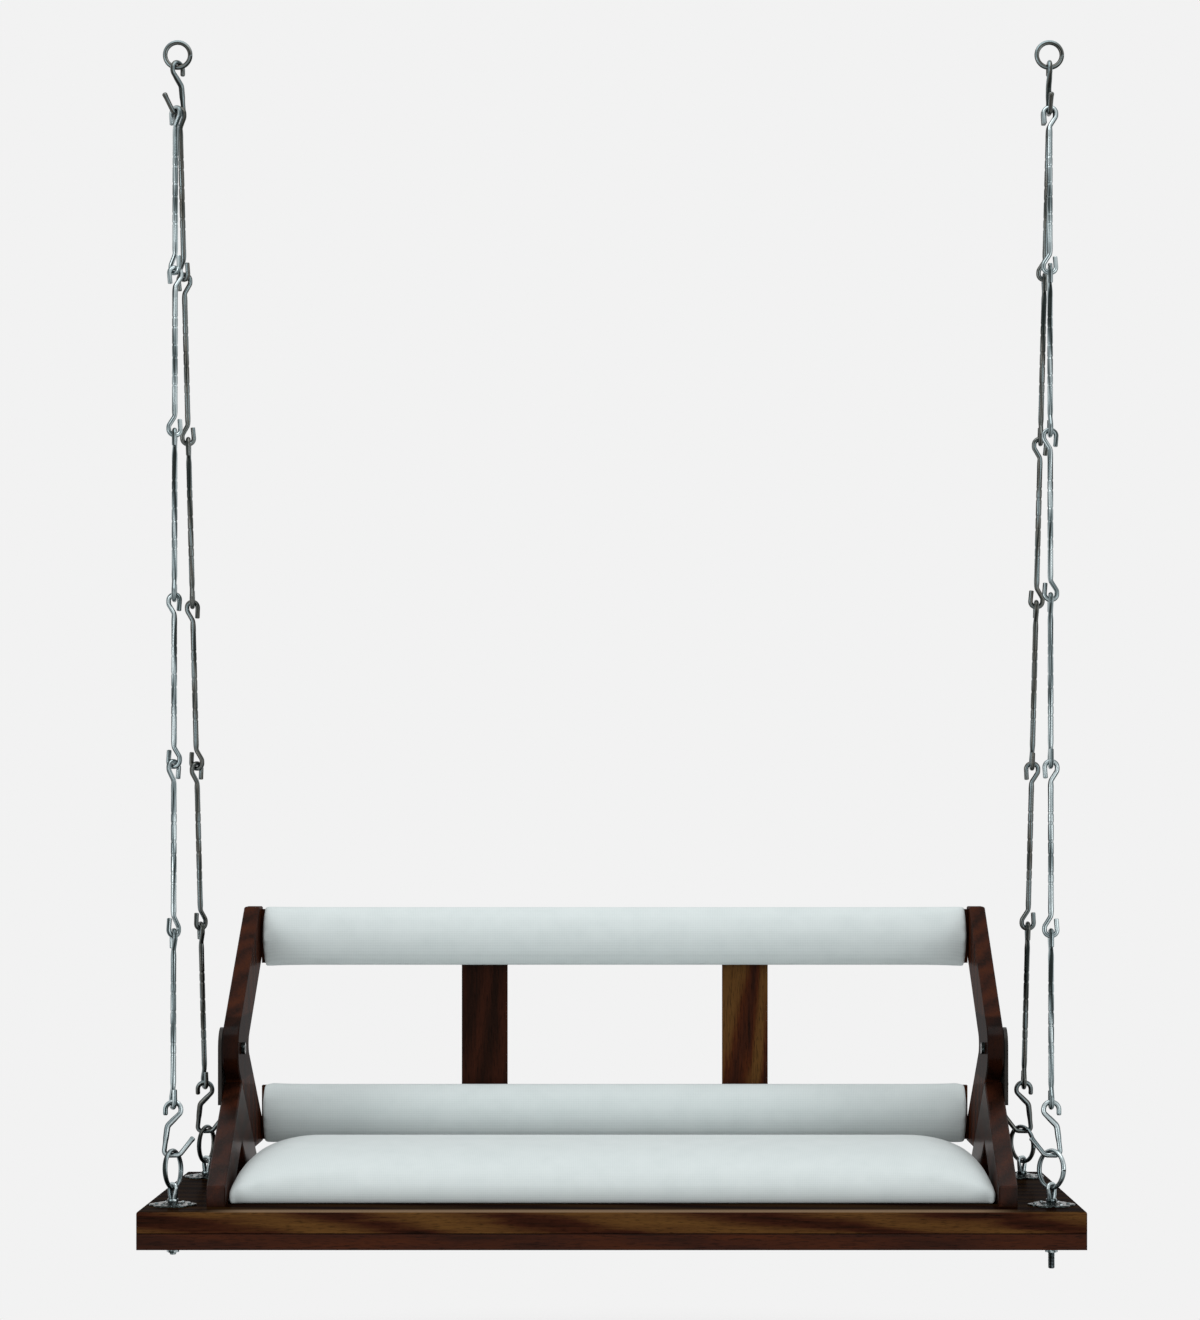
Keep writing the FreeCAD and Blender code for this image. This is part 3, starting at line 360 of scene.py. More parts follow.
def slab(tree, place, axis, middle, half, soft, inside, outside):
    """Value that eases from inside to outside a slab of the object, square to one axis."""
    parts = add(tree, "ShaderNodeSeparateXYZ", {"Vector": place})
    above = add(tree, "ShaderNodeMath", {0: parts.outputs[axis], 1: middle}, operation="SUBTRACT")
    away = add(tree, "ShaderNodeMath", {0: above.outputs[0]}, operation="ABSOLUTE")
    eased = add(tree, "ShaderNodeMapRange", {
        "Value": away.outputs[0], "From Min": half, "From Max": half + soft, "To Min": inside,
        "To Max": outside,
    }, interpolation_type="SMOOTHSTEP")
    return eased.outputs[0]


def lacquered_wood(name, shift, colours, turn, figure, gloss, shade, rubbed=None):
    """Dark-stained sheesham under satin lacquer, with the grain along the turned X axis.

    Growth bands about 30 mm wide and streaks about 5 mm wide run along the grain. Open pores show as
    fine dark dashes. The lacquer fills them almost level, so the gloss is even with a slight ripple.
    The colour is darker within a band of heights: painted shade on the plank's top and along the seam
    at the top of the rails, and a darker band about the arms' knuckle. A painted reflection makes it paler
    where slabs square to all three axes meet: the lit cushion mirrored along the plank's front edge.
    """
    material, tree = new_material(name)
    place = add(tree, "ShaderNodeTexCoord").outputs["Object"]
    grain = add(tree, "ShaderNodeMapping", {"Vector": place, "Location": shift, "Rotation": turn})
    long = add(tree, "ShaderNodeMapping", {"Vector": grain.outputs[0], "Scale": (5, BANDS, BANDS)})
    drift = add(tree, "ShaderNodeTexNoise", {
        "Vector": long.outputs[0], "Scale": 1.0, "Detail": 3.0, "Roughness": 0.55, "Distortion": 0.9,
    })
    bands = add(tree, "ShaderNodeTexWave", {
        "Vector": long.outputs[0], "Scale": 0.32, "Distortion": 7.0, "Detail": 3.0, "Detail Scale": 0.7,
        "Detail Roughness": 0.6,
    }, bands_direction="DIAGONAL")
    fine = add(tree, "ShaderNodeMapping", {"Vector": grain.outputs[0], "Scale": (9, STREAKS, STREAKS)})
    streaks = add(tree, "ShaderNodeTexNoise", {
        "Vector": fine.outputs[0], "Scale": 1.0, "Detail": 4.0, "Roughness": 0.6,
    })
    pore = add(tree, "ShaderNodeMapping", {"Vector": grain.outputs[0], "Scale": (60, PORES, PORES)})
    pores = add(tree, "ShaderNodeTexNoise", {"Vector": pore.outputs[0], "Scale": 1.0, "Detail": 2.0})
    body = add(tree, "ShaderNodeMix", {
        "Factor": figure, "A": drift.outputs["Fac"], "B": bands.outputs["Fac"],
    }, data_type="FLOAT")
    tone = add(tree, "ShaderNodeMix", {
        "Factor": 0.42, "A": body.outputs[0], "B": streaks.outputs["Fac"],
    }, data_type="FLOAT")
    stain = add(tree, "ShaderNodeValToRGB", {"Fac": tone.outputs[0]}, stops=colours)
    open_pores = add(tree, "ShaderNodeValToRGB", {"Fac": pores.outputs["Fac"]}, stops=(
        (0.34, (0.45, 0.45, 0.45, 1)), (0.46, (1, 1, 1, 1)),
    ))
    colour = add(tree, "ShaderNodeMix", {
        "Factor": 1.0, "A": stain.outputs[0], "B": open_pores.outputs[0],
    }, data_type="RGBA", blend_type="MULTIPLY")
    # Band of darker colour multiplied in: painted shade on the plank's top and along the seam, and the knuckle's
    # darker band
    stained = add(tree, "ShaderNodeMix", {
        "Factor": 1.0, "A": colour.outputs[2], "B": slab(tree, place, "Z", *shade, 1.0),
    }, data_type="RGBA", blend_type="MULTIPLY")
    # Painted reflection: paler colour where all the slabs given in rubbed meet
    if rubbed:
        pale, (first, *others) = rubbed
        reflection_mask = slab(tree, place, *first, 1.0, 0.0)
        for other in others:
            reflection_mask = add(tree, "ShaderNodeMath", {
                0: reflection_mask, 1: slab(tree, place, *other, 1.0, 0.0),
            }, operation="MULTIPLY").outputs[0]
        stained = add(tree, "ShaderNodeMix", {
            "Factor": reflection_mask, "A": stained.outputs[2], "B": pale,
        }, data_type="RGBA")
    relief = add(tree, "ShaderNodeBump", {
        "Height": pores.outputs["Fac"], "Strength": 0.12, "Distance": 0.0006,
    })
    shader = add(tree, "ShaderNodeBsdfPrincipled", {
        "Base Color": stained.outputs[2], "Roughness": 0.5, "Normal": relief.outputs[0],
        "Specular IOR Level": 0.0, "Coat Weight": gloss, "Coat Roughness": 0.24,
    })
    finish_material(tree, shader)
    return material


def plated_steel(name, colours):
    """Bright-plated drawn bar with painted reflections: light and dark streaks painted along the bar where its
    flats would mirror the studio.

    The streaks follow the bar coordinates, about four round the bar and some 100 mm long.
    """
    material, tree = new_material(name)
    bar = add(tree, "ShaderNodeAttribute", attribute_name="bar")
    drawn = add(tree, "ShaderNodeMapping", {"Vector": bar.outputs["Vector"], "Scale": (1, 1, 9)})
    streak = add(tree, "ShaderNodeTexNoise", {
        "Vector": drawn.outputs[0], "Scale": 1.4, "Detail": 1.0, "Roughness": 0.4,
    })
    # Painted reflections: dark and bright streaks along the bar
    tint = add(tree, "ShaderNodeValToRGB", {"Fac": streak.outputs["Fac"]}, stops=(
        (0.38, colours[0]), (0.50, colours[1]), (0.64, colours[2]),
    ))
    shader = add(tree, "ShaderNodeBsdfPrincipled", {
        "Base Color": tint.outputs[0], "Metallic": 0.9, "Roughness": 0.28,
    })
    finish_material(tree, shader)
    return material


def zinc_fittings(name, colours, bright):
    """Zinc-plated pressings and nuts: a mottled skin of painted reflections, with painted glints in small bright
    spots about 5 mm wide.
    """
    material, tree = new_material(name)
    place = add(tree, "ShaderNodeTexCoord").outputs["Object"]
    facets = add(tree, "ShaderNodeTexNoise", {"Vector": place, "Scale": 190.0, "Detail": 2.0})
    # Painted glints: the bright stop sits where the noise runs highest, painted dark reflection below
    tint = add(tree, "ShaderNodeValToRGB", {"Fac": facets.outputs["Fac"]}, stops=(
        (bright - 0.22, colours[0]), (bright - 0.08, colours[1]), (bright, colours[2]),
    ))
    relief = add(tree, "ShaderNodeBump", {
        "Height": facets.outputs["Fac"], "Strength": 0.3, "Distance": 0.0006,
    })
    shader = add(tree, "ShaderNodeBsdfPrincipled", {
        "Base Color": tint.outputs[0], "Metallic": 0.9, "Roughness": 0.24, "Normal": relief.outputs[0],
    })
    finish_material(tree, shader)
    return material


def blackened_plate(name, colour):
    """Mild steel plate, oil-blackened: a dull dark skin with a fine grain and paler rubbed patches."""
    material, tree = new_material(name)
    place = add(tree, "ShaderNodeTexCoord").outputs["Object"]
    rub = add(tree, "ShaderNodeTexNoise", {"Vector": place, "Scale": 45.0, "Detail": 5.0, "Roughness": 0.65})
    tint = add(tree, "ShaderNodeValToRGB", {"Fac": rub.outputs["Fac"]}, stops=(
        (0.4, tuple(colour)), (0.8, tuple(channel * 2.2 for channel in colour[:3]) + (1,)),
    ))
    relief = add(tree, "ShaderNodeBump", {"Height": rub.outputs["Fac"], "Strength": 0.15, "Distance": 0.0004})
    shader = add(tree, "ShaderNodeBsdfPrincipled", {
        "Base Color": tint.outputs[0], "Metallic": 0.6, "Roughness": 0.45, "Normal": relief.outputs[0],
    })
    finish_material(tree, shader)
    return material


def woven_cover(name, colours, thread):
    """Plain-woven polyester cover: matt, with threads crossing over and under and faint uneven dye.

    The threads are drawn coarser than the real ones, about 1.5 mm apart, so that the weave shows.
    """
    material, tree = new_material(name)
    place = add(tree, "ShaderNodeTexCoord").outputs["Object"]
    per_metre = 1 / thread / 20 * math.pi
    warp = add(tree, "ShaderNodeTexWave", {
        "Vector": place, "Scale": per_metre, "Distortion": 0.6,
    }, bands_direction="X")
    tilted = add(tree, "ShaderNodeMapping", {"Vector": place, "Rotation": (math.radians(40), 0, 0)})
    weft = add(tree, "ShaderNodeTexWave", {
        "Vector": tilted.outputs[0], "Scale": per_metre, "Distortion": 0.6,
    }, bands_direction="Z")
    weave = add(tree, "ShaderNodeMix", {
        "Factor": 0.5, "A": warp.outputs["Fac"], "B": weft.outputs["Fac"],
    }, data_type="FLOAT")
    slub = add(tree, "ShaderNodeTexNoise", {"Vector": place, "Scale": 26.0, "Detail": 4.0, "Roughness": 0.6})
    mixed = add(tree, "ShaderNodeMix", {
        "Factor": 0.6, "A": weave.outputs[0], "B": slub.outputs["Fac"],
    }, data_type="FLOAT")
    dye = add(tree, "ShaderNodeValToRGB", {"Fac": mixed.outputs[0]}, stops=(
        (0.25, tuple(colours[1])), (0.62, tuple(colours[0])),
    ))
    relief = add(tree, "ShaderNodeBump", {"Height": weave.outputs[0], "Strength": 0.10, "Distance": 0.0005})
    shader = add(tree, "ShaderNodeBsdfPrincipled", {
        "Base Color": dye.outputs[0], "Roughness": 0.82, "Normal": relief.outputs[0],
        "Sheen Weight": 0.15, "Sheen Roughness": 0.5,
    })
    finish_material(tree, shader)
    return material


def steel_colours(tones):
    """Dark, middle and bright colour of plated steel; the dark and bright ones are painted reflections."""
    return tuple(tones.steel_dark_reflection), tuple(tones.steel_mid), tuple(tones.steel)


def shaded_steel_colours(tones):
    """Dark, middle and bright colour of a darker copy of plated steel, painted shade for the back chains."""
    return tuple(tones.steel_dark_reflection), tuple(tones.steel_shaded), tuple(tones.steel_mid)


def wear(node, material):
    """Give a CAD node its finish."""
    mesh = frame["nodes"][node].data
    mesh.materials.clear()
    mesh.materials.append(material)


# Hanging gear

def swelling(away, sizes):
    """Growth of a link's radius: a smooth step, all of it where away is well below zero."""
    return sizes.thicker / (1 + np.exp(away / STEP_LENGTH))


def hook_shape(sizes):
    """Hook: a round loop above, and below it a wide bend with a straight tip.

    The radius grows in a smooth step from the two bearings to the shank between them.
    """
    low = sizes.hook_height
    corners = (
        (-0.0124, -0.021, 0), (-0.0124, 0, 0.012), (0.0124, 0, 0.012), (0.0124, -0.017, 0.009),
        (-0.009, -0.038, 0.012), (-0.015, -low, 0.0075), (0.0105, -low, 0.010), (0.033, 0.028 - low, 0),
    )
    line = bent_line(corners, 0.0014)
    off_shank = np.abs(line[:, 1] + low / 2) - 0.018
    radius = sizes.link_wire / 2 + swelling(off_shank, sizes)
    return skin(wire_grid(line, radius))


def rod_shape(length, sizes):
    """Rod with an open eye at each end, turned grooves about its middle and fine ribs towards its ends.

    The radius grows in a smooth step from the eyes to the shank. With d the distance from the middle,
    it loses a rounded groove at d of 11 and 41 mm and at the rim of the ribs, and the ribs are a cosine
    of d from 62 to 92 mm.
    """
    upper = (
        (0.0085, -0.028, 0), (0.0105, 0, 0.0094), (-0.0105, 0, 0.0094), (-0.0105, -0.015, 0.010),
        (0, -0.032, 0.012),
    )
    lower = tuple((-beside, -length - below, bend) for beside, below, bend in reversed(upper))
    line = bent_line(upper + lower, 0.0006)
    middle = np.abs(line[:, 1] + length / 2)
    off_shank = middle - length / 2 + 0.036
    radius = sizes.link_wire / 2 + swelling(off_shank, sizes)
    for place in (0.011, 0.041, 0.058):
        radius -= sizes.groove_depth * np.exp(-((middle - place) / 0.0022) ** 4)
    ribbed = 1 / (1 + np.exp((np.abs(middle - 0.077) - 0.015) / 0.0008))
    radius -= sizes.rib_depth * ribbed * (0.5 - 0.5 * np.cos(2 * math.pi * middle / sizes.rib_pitch))
    return skin(wire_grid(line, radius, around=12))


def top_hook_heading(way, sizes):
    """Turn of a top hook about the upright; its tip points to the front."""
    return -math.pi / 2 - (sizes.left_hook_turn if way < 0 else 0)


def chain_shapes(way, turn, sizes):
    """Six rods, a hook and a ring from a top hook down to an eyebolt.

    The links bear on each other wire on wire, and the rods share what the hook and the ring leave of
    the distance.
    """
    side = "left" if way < 0 else "right"
    sway = JOINTS["sway" if way < 0 else "right_sway"]
    bearing = sizes.link_wire + sizes.link_gap
    hook_on_ring = (sizes.link_wire + sizes.tie_wire) / 2 + sizes.link_gap
    ring_in_eye = (sizes.tie_wire + sizes.eye_wire) / 2 + sizes.link_gap
    tie_radius = (sizes.tie_outer - sizes.tie_wire) / 2
    heading = top_hook_heading(way, sizes)
    beside = -turn * sizes.pair_pitch / 2
    top = np.array([
        MOUNTS[f"{side}_ring"][0] + beside * math.cos(heading), beside * math.sin(heading), sway[2],
    ])
    level = JOINTS["seat_level"]
    bottom = np.array([way * abs(level[0]), turn * sizes.eye_spacing / 2 + PIVOT[1], level[2]])
    span = np.linalg.norm(bottom - top)
    count = 6
    pitch = (span + bearing - sizes.hook_height + hook_on_ring - 2 * tie_radius + ring_in_eye) / count
    first_turn = sizes.left_rod_turn if way < 0 else 0
    last_turn = math.radians(360 if way < 0 else 540)
    upward = unit(top - bottom)
    across = unit(np.array([1, 0, 0]) - upward * upward[0])
    axes = np.stack([across, np.cross(upward, across), upward], axis=1)
    rod = rod_shape(pitch + bearing, sizes)
    links = []
    for index in range(count):
        angle = math.pi + first_turn + index * (last_turn - first_turn) / count
        links.append((rod, angle, index * pitch - bearing))
    hook_top = count * pitch - bearing
    links.append((hook_shape(sizes), last_turn, hook_top))
    ring_middle = hook_top + sizes.hook_height - hook_on_ring + tie_radius
    tie_turn = sizes.left_tie_turn if way < 0 else sizes.right_tie_turn
    tie_ring = skin(ring_grid(tie_radius, sizes.tie_wire, sizes.thicker), closed=True)
    links.append((tie_ring, tie_turn, ring_middle))
    return [placed(link, top - upward * below, axes @ upright_turn(angle)) for link, angle, below in links]


class SWING_OT_hang_chains(bpy.types.Operator):
    """Bend the ceiling rings, hooks, rods and tie rings from round bar"""
    bl_idname = "swing.hang_chains"
    bl_label = "Hang chains"

    def execute(self, context):
        sizes = context.scene.swing_chains
        tones = context.scene.swing_finishes
        # Painted shade: a darker copy of the plated steel for the back chains; the top hooks and ceiling rings
        # wear it too
        dull = plated_steel("dull_plated_bar", shaded_steel_colours(tones))
        steels = {"front": plated_steel("bright_plated_bar", steel_colours(tones)), "back": dull}
        ring_radius = (sizes.ring_outer - sizes.link_wire) / 2
        ring = skin(ring_grid(ring_radius, sizes.link_wire, 0), closed=True)
        rings = [placed(ring, MOUNTS[f"{side}_ring"]) for side, _ in SIDES]
        make_piece("welded_ceiling_rings", rings, dull, "ceiling", ["ceiling_rings"])
        hook = hook_shape(sizes)
        loop = JOINTS["sway"][2] + sizes.hook_height
        hooks = []
        for side, way in SIDES:
            heading = upright_turn(top_hook_heading(way, sizes))
            hooks.append(placed(hook, MOUNTS[f"{side}_ring"] + (0, 0, loop), heading))
        make_piece("bent_top_hooks", hooks, dull, "hooks", ["top_hooks"])
        for side, way in SIDES:
            for end, turn in ENDS:
                make_piece(
                    f"{end}_{side}_links", chain_shapes(way, turn, sizes), steels[end], f"{side}_hanger",
                    [f"{end}_{side}_chain"],
                )
        return {"FINISHED"}


# Eyebolts and their fittings

def rosette_shape():
    """Pressed plate: rim radius 30 + 8 |cos 3a|^0.6 mm, a raised middle and a ridge down each lobe."""
    share = np.array([1, 1, 0.985, 0.95, 0.85, 0.72, 0.58, 0.46, 0.40, 0.34, 0.2])[:, None]
    rise = np.array([0, 16, 22, 24, 22, 20, 20, 30, 47, 53, 54])[:, None] * 0.0001
    angle = circle(96)[None, :]
    lobe = np.abs(np.cos(3 * angle)) ** 0.6
    reach = (0.030 + 0.008 * lobe) * share
    ridge = 0.0010 * lobe ** 4 * np.exp(-((share - 0.78) / 0.14) ** 2)
    x, y = reach * np.cos(angle), reach * np.sin(angle)
    return skin(np.stack([x, y, rise + ridge], axis=-1))


def dome_shape(radius, height):
    """Low round screw head with a flat underside."""
    angle = np.linspace(0, math.pi / 2 * 0.92, 7)
    profile = np.stack([radius * np.cos(angle), height * np.sin(angle)], axis=1)
    return skin(turned_grid(profile, around=20))


def eyebolt_shapes(tail, sizes):
    """Long bent eye, turned collar, and the threaded end that shows under the plank.

    The eye's legs are thicker than its top by a smooth step, and the thread is a cosine on the radius.
    """
    pin = JOINTS["seat_level"][2]
    base = DECK_TOP + ROSETTE_HEIGHT
    half = sizes.eye_width / 2
    bend = sizes.eye_wire
    foot, sunk = 0.0042, 0.0025
    low = base + sunk - pin
    eye_corners = ((-foot, low, 0), (-half, 0, bend), (half, 0, bend), (foot, low, 0))
    line = bent_line(eye_corners, 0.0012)
    legs = sizes.eye_wire / 2 + swelling(line[:, 1] + 0.012, sizes)
    eye = placed(skin(wire_grid(line, legs)), (0, 0, pin))
    collar = skin(turned_grid((
        (0.0050, base), (0.0084, base), (0.0090, base + 0.0008), (0.0090, base + 0.0040),
        (0.0082, base + 0.0050), (0.0040, base + 0.0052),
    )))
    height = np.linspace(DECK_UNDERSIDE - tail, DECK_UNDERSIDE, int(tail / 0.0004))
    depth, pitch = 0.0003, 0.00175
    radius = sizes.bolt / 2 - depth - depth * np.cos(2 * math.pi * height / pitch)
    radius[:4] *= (0.72, 0.82, 0.90, 0.96)
    thread = skin(turned_grid(np.stack([radius, height], axis=1), around=16))
    return eye, collar, thread


class SWING_OT_set_eyebolts(bpy.types.Operator):
    """Set the eyebolts, their pressed rosettes and the nuts under the plank"""
    bl_idname = "swing.set_eyebolts"
    bl_label = "Set eyebolts"

    def execute(self, context):
        sizes = context.scene.swing_chains
        colours = steel_colours(context.scene.swing_finishes)
        steel = plated_steel("bright_plated_bolts", colours)
        # Painted reflections: the pressings stay mostly painted dark with few painted glints; the nuts get more
        # glints
        pressed = zinc_fittings("tarnished_zinc_pressings", colours, 0.80)
        zinc = zinc_fittings("zinc_plated_nuts", colours, 0.60)
        reach = abs(JOINTS["seat_level"][0])
        bolts, plates, screws = [], [], []
        rosette = rosette_shape()
        screw = dome_shape(0.0036, 0.0018)
        screw_circle, screw_height = 0.0265, 0.0028
        for side, way in SIDES:
            for end, turn in ENDS:
                tail = LONG_TAIL if (side, end) == ("right", "front") else SHORT_TAIL
                place = np.array([way * reach, turn * sizes.eye_spacing / 2 + PIVOT[1], 0])
                twist = upright_turn(-way * sizes.eye_turn)
                bolts += [placed(shape, place, twist) for shape in eyebolt_shapes(tail, sizes)]
                on_deck = place + (0, 0, DECK_TOP)
                plates.append(placed(rosette, on_deck))
                for angle in circle(ROSETTE_LOBES):
                    beside = screw_circle * math.cos(angle), screw_circle * math.sin(angle)
                    screws.append(placed(screw, on_deck + (*beside, screw_height)))
        make_piece("forged_eyebolts", bolts, steel, "seat", ["eyebolts"])
        make_piece("pressed_rosettes", plates, pressed, "seat", ["rosettes"])
        make_piece("rosette_screws", screws, zinc, "seat")
        for node in ("eyebolt_washers", "eyebolt_nuts"):
            wear(node, zinc)
        # The pivot washers and nuts get the pressings' painted dark reflection and painted glints
        for node in ("pivot_washers", "pivot_nuts"):
            wear(node, pressed)
        return {"FINISHED"}


class SWING_OT_fit_pivots(bpy.types.Operator):
    """Finish the pivot plates and bolts and add the screws that hold each plate"""
    bl_idname = "swing.fit_pivots"
    bl_label = "Fit pivots"

    def execute(self, context):
        plate = blackened_plate("oil_blackened_plate", context.scene.swing_finishes.plate)
        screws = []
        for side, way in SIDES:
            node = f"{side}_pivot_plate"
            wear(node, plate)
            low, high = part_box(node)
            face = high[0] if way > 0 else low[0]
            outward = np.array([[0, 0, way], [0, 1, 0], [-way, 0, 0]])
            for across, down in ((-0.018, 0.058), (0.018, 0.058), (0, 0.078)):
                spot = np.array([face, PIVOT[1] + across, PIVOT[2] - down])
                screws.append(placed(dome_shape(0.0046, 0.0022), spot, outward))
        wear("pivot_bolts", plate)
        make_piece("plate_screws", screws, plate, "seat")
        return {"FINISHED"}


# Wood

class SWING_OT_lacquer_wood(bpy.types.Operator):
    """Stain and lacquer each wooden piece, with the grain along the piece"""
    bl_idname = "swing.lacquer_wood"
    bl_label = "Lacquer wood"

    def execute(self, context):
        tones = context.scene.swing_finishes
        dark, plain = tuple(tones.wood_dark), tuple(tones.wood_plain)
        red, warm, honey = tuple(tones.wood_red), tuple(tones.wood_warm), tuple(tones.wood_honey)
        figured = ((0.26, dark), (0.38, plain), (0.52, warm), (0.70, honey))
        quiet = ((0.28, dark), (0.46, plain), (0.72, red))
        amber = ((0.24, dark), (0.34, plain), (0.46, red), (0.64, honey))
        deep = ((0.34, dark), (0.60, plain), (0.80, red))
        upright = (0, math.radians(90), 0)
        level = (0, 0, 0)
        crosswise = (0, 0, math.radians(90))
        even = (0, 1, 1, 1)
        # Painted shade: the plank's top face darkens to 0.22 of its stain
        painted_shade_on_top = (DECK_TOP, 0.0006, 0.0008, 0.22)
        # Painted shade: a dark line along the top of the rails, under the plank
        painted_seam_shade = (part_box("front_rail")[1][2], 0.0014, 0.0008, 0.2)
        # The arms are darker within 50 mm above and below the pivot's height
        darker_knuckle_band = (PIVOT[2], 0.050, 0.006, 0.3)
        cushion_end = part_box("seat_cushion")[1][0]
        # Painted reflection: paler colour on the plank's top along its front edge, within the cushion's length
        painted_reflection_strip = tuple(tones.wood_painted_reflection), (
            ("X", 0, cushion_end - 0.05, 0.09),
            ("Y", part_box("deck_board_1")[0][1], 0.016, 0.022),
            ("Z", DECK_TOP, 0.0008, 0.0006),
        )
        # Node, colours, turn of the grain, share of figure, gloss, band of darker colour, painted reflection
        pieces = [("deck_board_1", figured, level, 0.55, 0.03, painted_shade_on_top, painted_reflection_strip)]
        for number in range(2, 5):
            pieces.append((f"deck_board_{number}", figured, level, 0.55, 0.03, painted_shade_on_top))
        pieces += [(f"{end}_rail", quiet, level, 0.3, 0.12, painted_seam_shade) for end, _ in ENDS]
        pieces += [(f"{name}_back_board", quiet, level, 0.4, 0.12, even) for name in ("upper", "lower")]
        for side, _ in SIDES:
            for name in ("end_rail", "batten"):
                pieces.append((f"{side}_{name}", deep, crosswise, 0.4, 0.12, even))
            for name, lean in (("front", 33), ("rear", -33)):
                along = (math.radians(lean), 0, math.radians(-90))
                pieces.append((f"{side}_{name}_leg", deep, along, 0.4, 0.30, even))
            pieces.append((f"{side}_arm", quiet, upright, 0.45, 0.12, darker_knuckle_band))
        pieces.append(("left_slat", deep, upright, 0.35, 0.06, even))
        pieces.append(("right_slat", amber, upright, 0.6, 0.06, even))
        for index, (node, *finish) in enumerate(pieces):
            shift = (0.37 * index, 0.211 * index, 0.093 * index)
            wear(node, lacquered_wood(f"lacquered_{node}", shift, *finish))
        return {"FINISHED"}


# Cushions

def fill_with_air(piece, sizes, swell, axis, face):
    """Blow the sewn cover up with cloth pressure, with a cap on how far a point moves.

    The face that lies on wood, at its place on one axis, stays flat.
    """
    remesh = piece.modifiers.new("grid", "REMESH")
    remesh.mode = "VOXEL"
    remesh.voxel_size = sizes.voxel
    apply_modifiers(piece)
    start = mesh_points(piece)
    cloth = piece.modifiers.new("cover", "CLOTH")
    cloth.settings.use_pressure = True
    cloth.settings.uniform_pressure_force = 4
    cloth.settings.effector_weights.gravity = 0
    cloth.settings.quality = 3
    cloth.settings.tension_stiffness = 25
    cloth.settings.bending_stiffness = 1.5
    scene = bpy.context.scene
    for step in range(1, FILL_FRAMES + 1):
        scene.frame_set(step)
    apply_modifiers(piece)
    scene.frame_set(1)
    move = mesh_points(piece) - start
    reach = np.linalg.norm(move, axis=1, keepdims=True)
    moved = start + move * np.minimum(1, swell / np.maximum(reach, 1e-9))
    resting = np.abs(start[:, axis] - face) < 0.6 * sizes.voxel
    moved[resting, axis] = face
    set_points(piece, moved)


def mesh_points(piece):
    """Points of a mesh as an array."""
    flat = np.empty(len(piece.data.vertices) * 3, np.float32)
    piece.data.vertices.foreach_get("co", flat)
    return flat.reshape(-1, 3).astype(float)


def set_points(piece, points):
    """Move the points of a mesh."""
    piece.data.vertices.foreach_set("co", points.astype(np.float32).ravel())
    piece.data.update()


def apply_modifiers(piece):
    """Replace a piece's mesh by what its modifiers make of it."""
    depsgraph = bpy.context.evaluated_depsgraph_get()
    mesh = bpy.data.meshes.new_from_object(piece.evaluated_get(depsgraph))
    materials = list(piece.data.materials)
    piece.modifiers.clear()
    piece.data = mesh
    mesh.materials.clear()
    for material in materials:
        mesh.materials.append(material)
    mesh.shade_smooth()


def soften(piece, low, high):
    """Ease a filled pad and stretch it evenly to the box that it fills."""
    smooth = piece.modifiers.new("ease", "SMOOTH")
    smooth.factor = 0.5
    smooth.iterations = 3
    apply_modifiers(piece)
    points = mesh_points(piece)
    least, most = points.min(axis=0), points.max(axis=0)
    set_points(piece, low + (points - least) * (high - low) / (most - least))
    finer = piece.modifiers.new("finer", "SUBSURF")
    finer.levels = 1
    finer.render_levels = 1


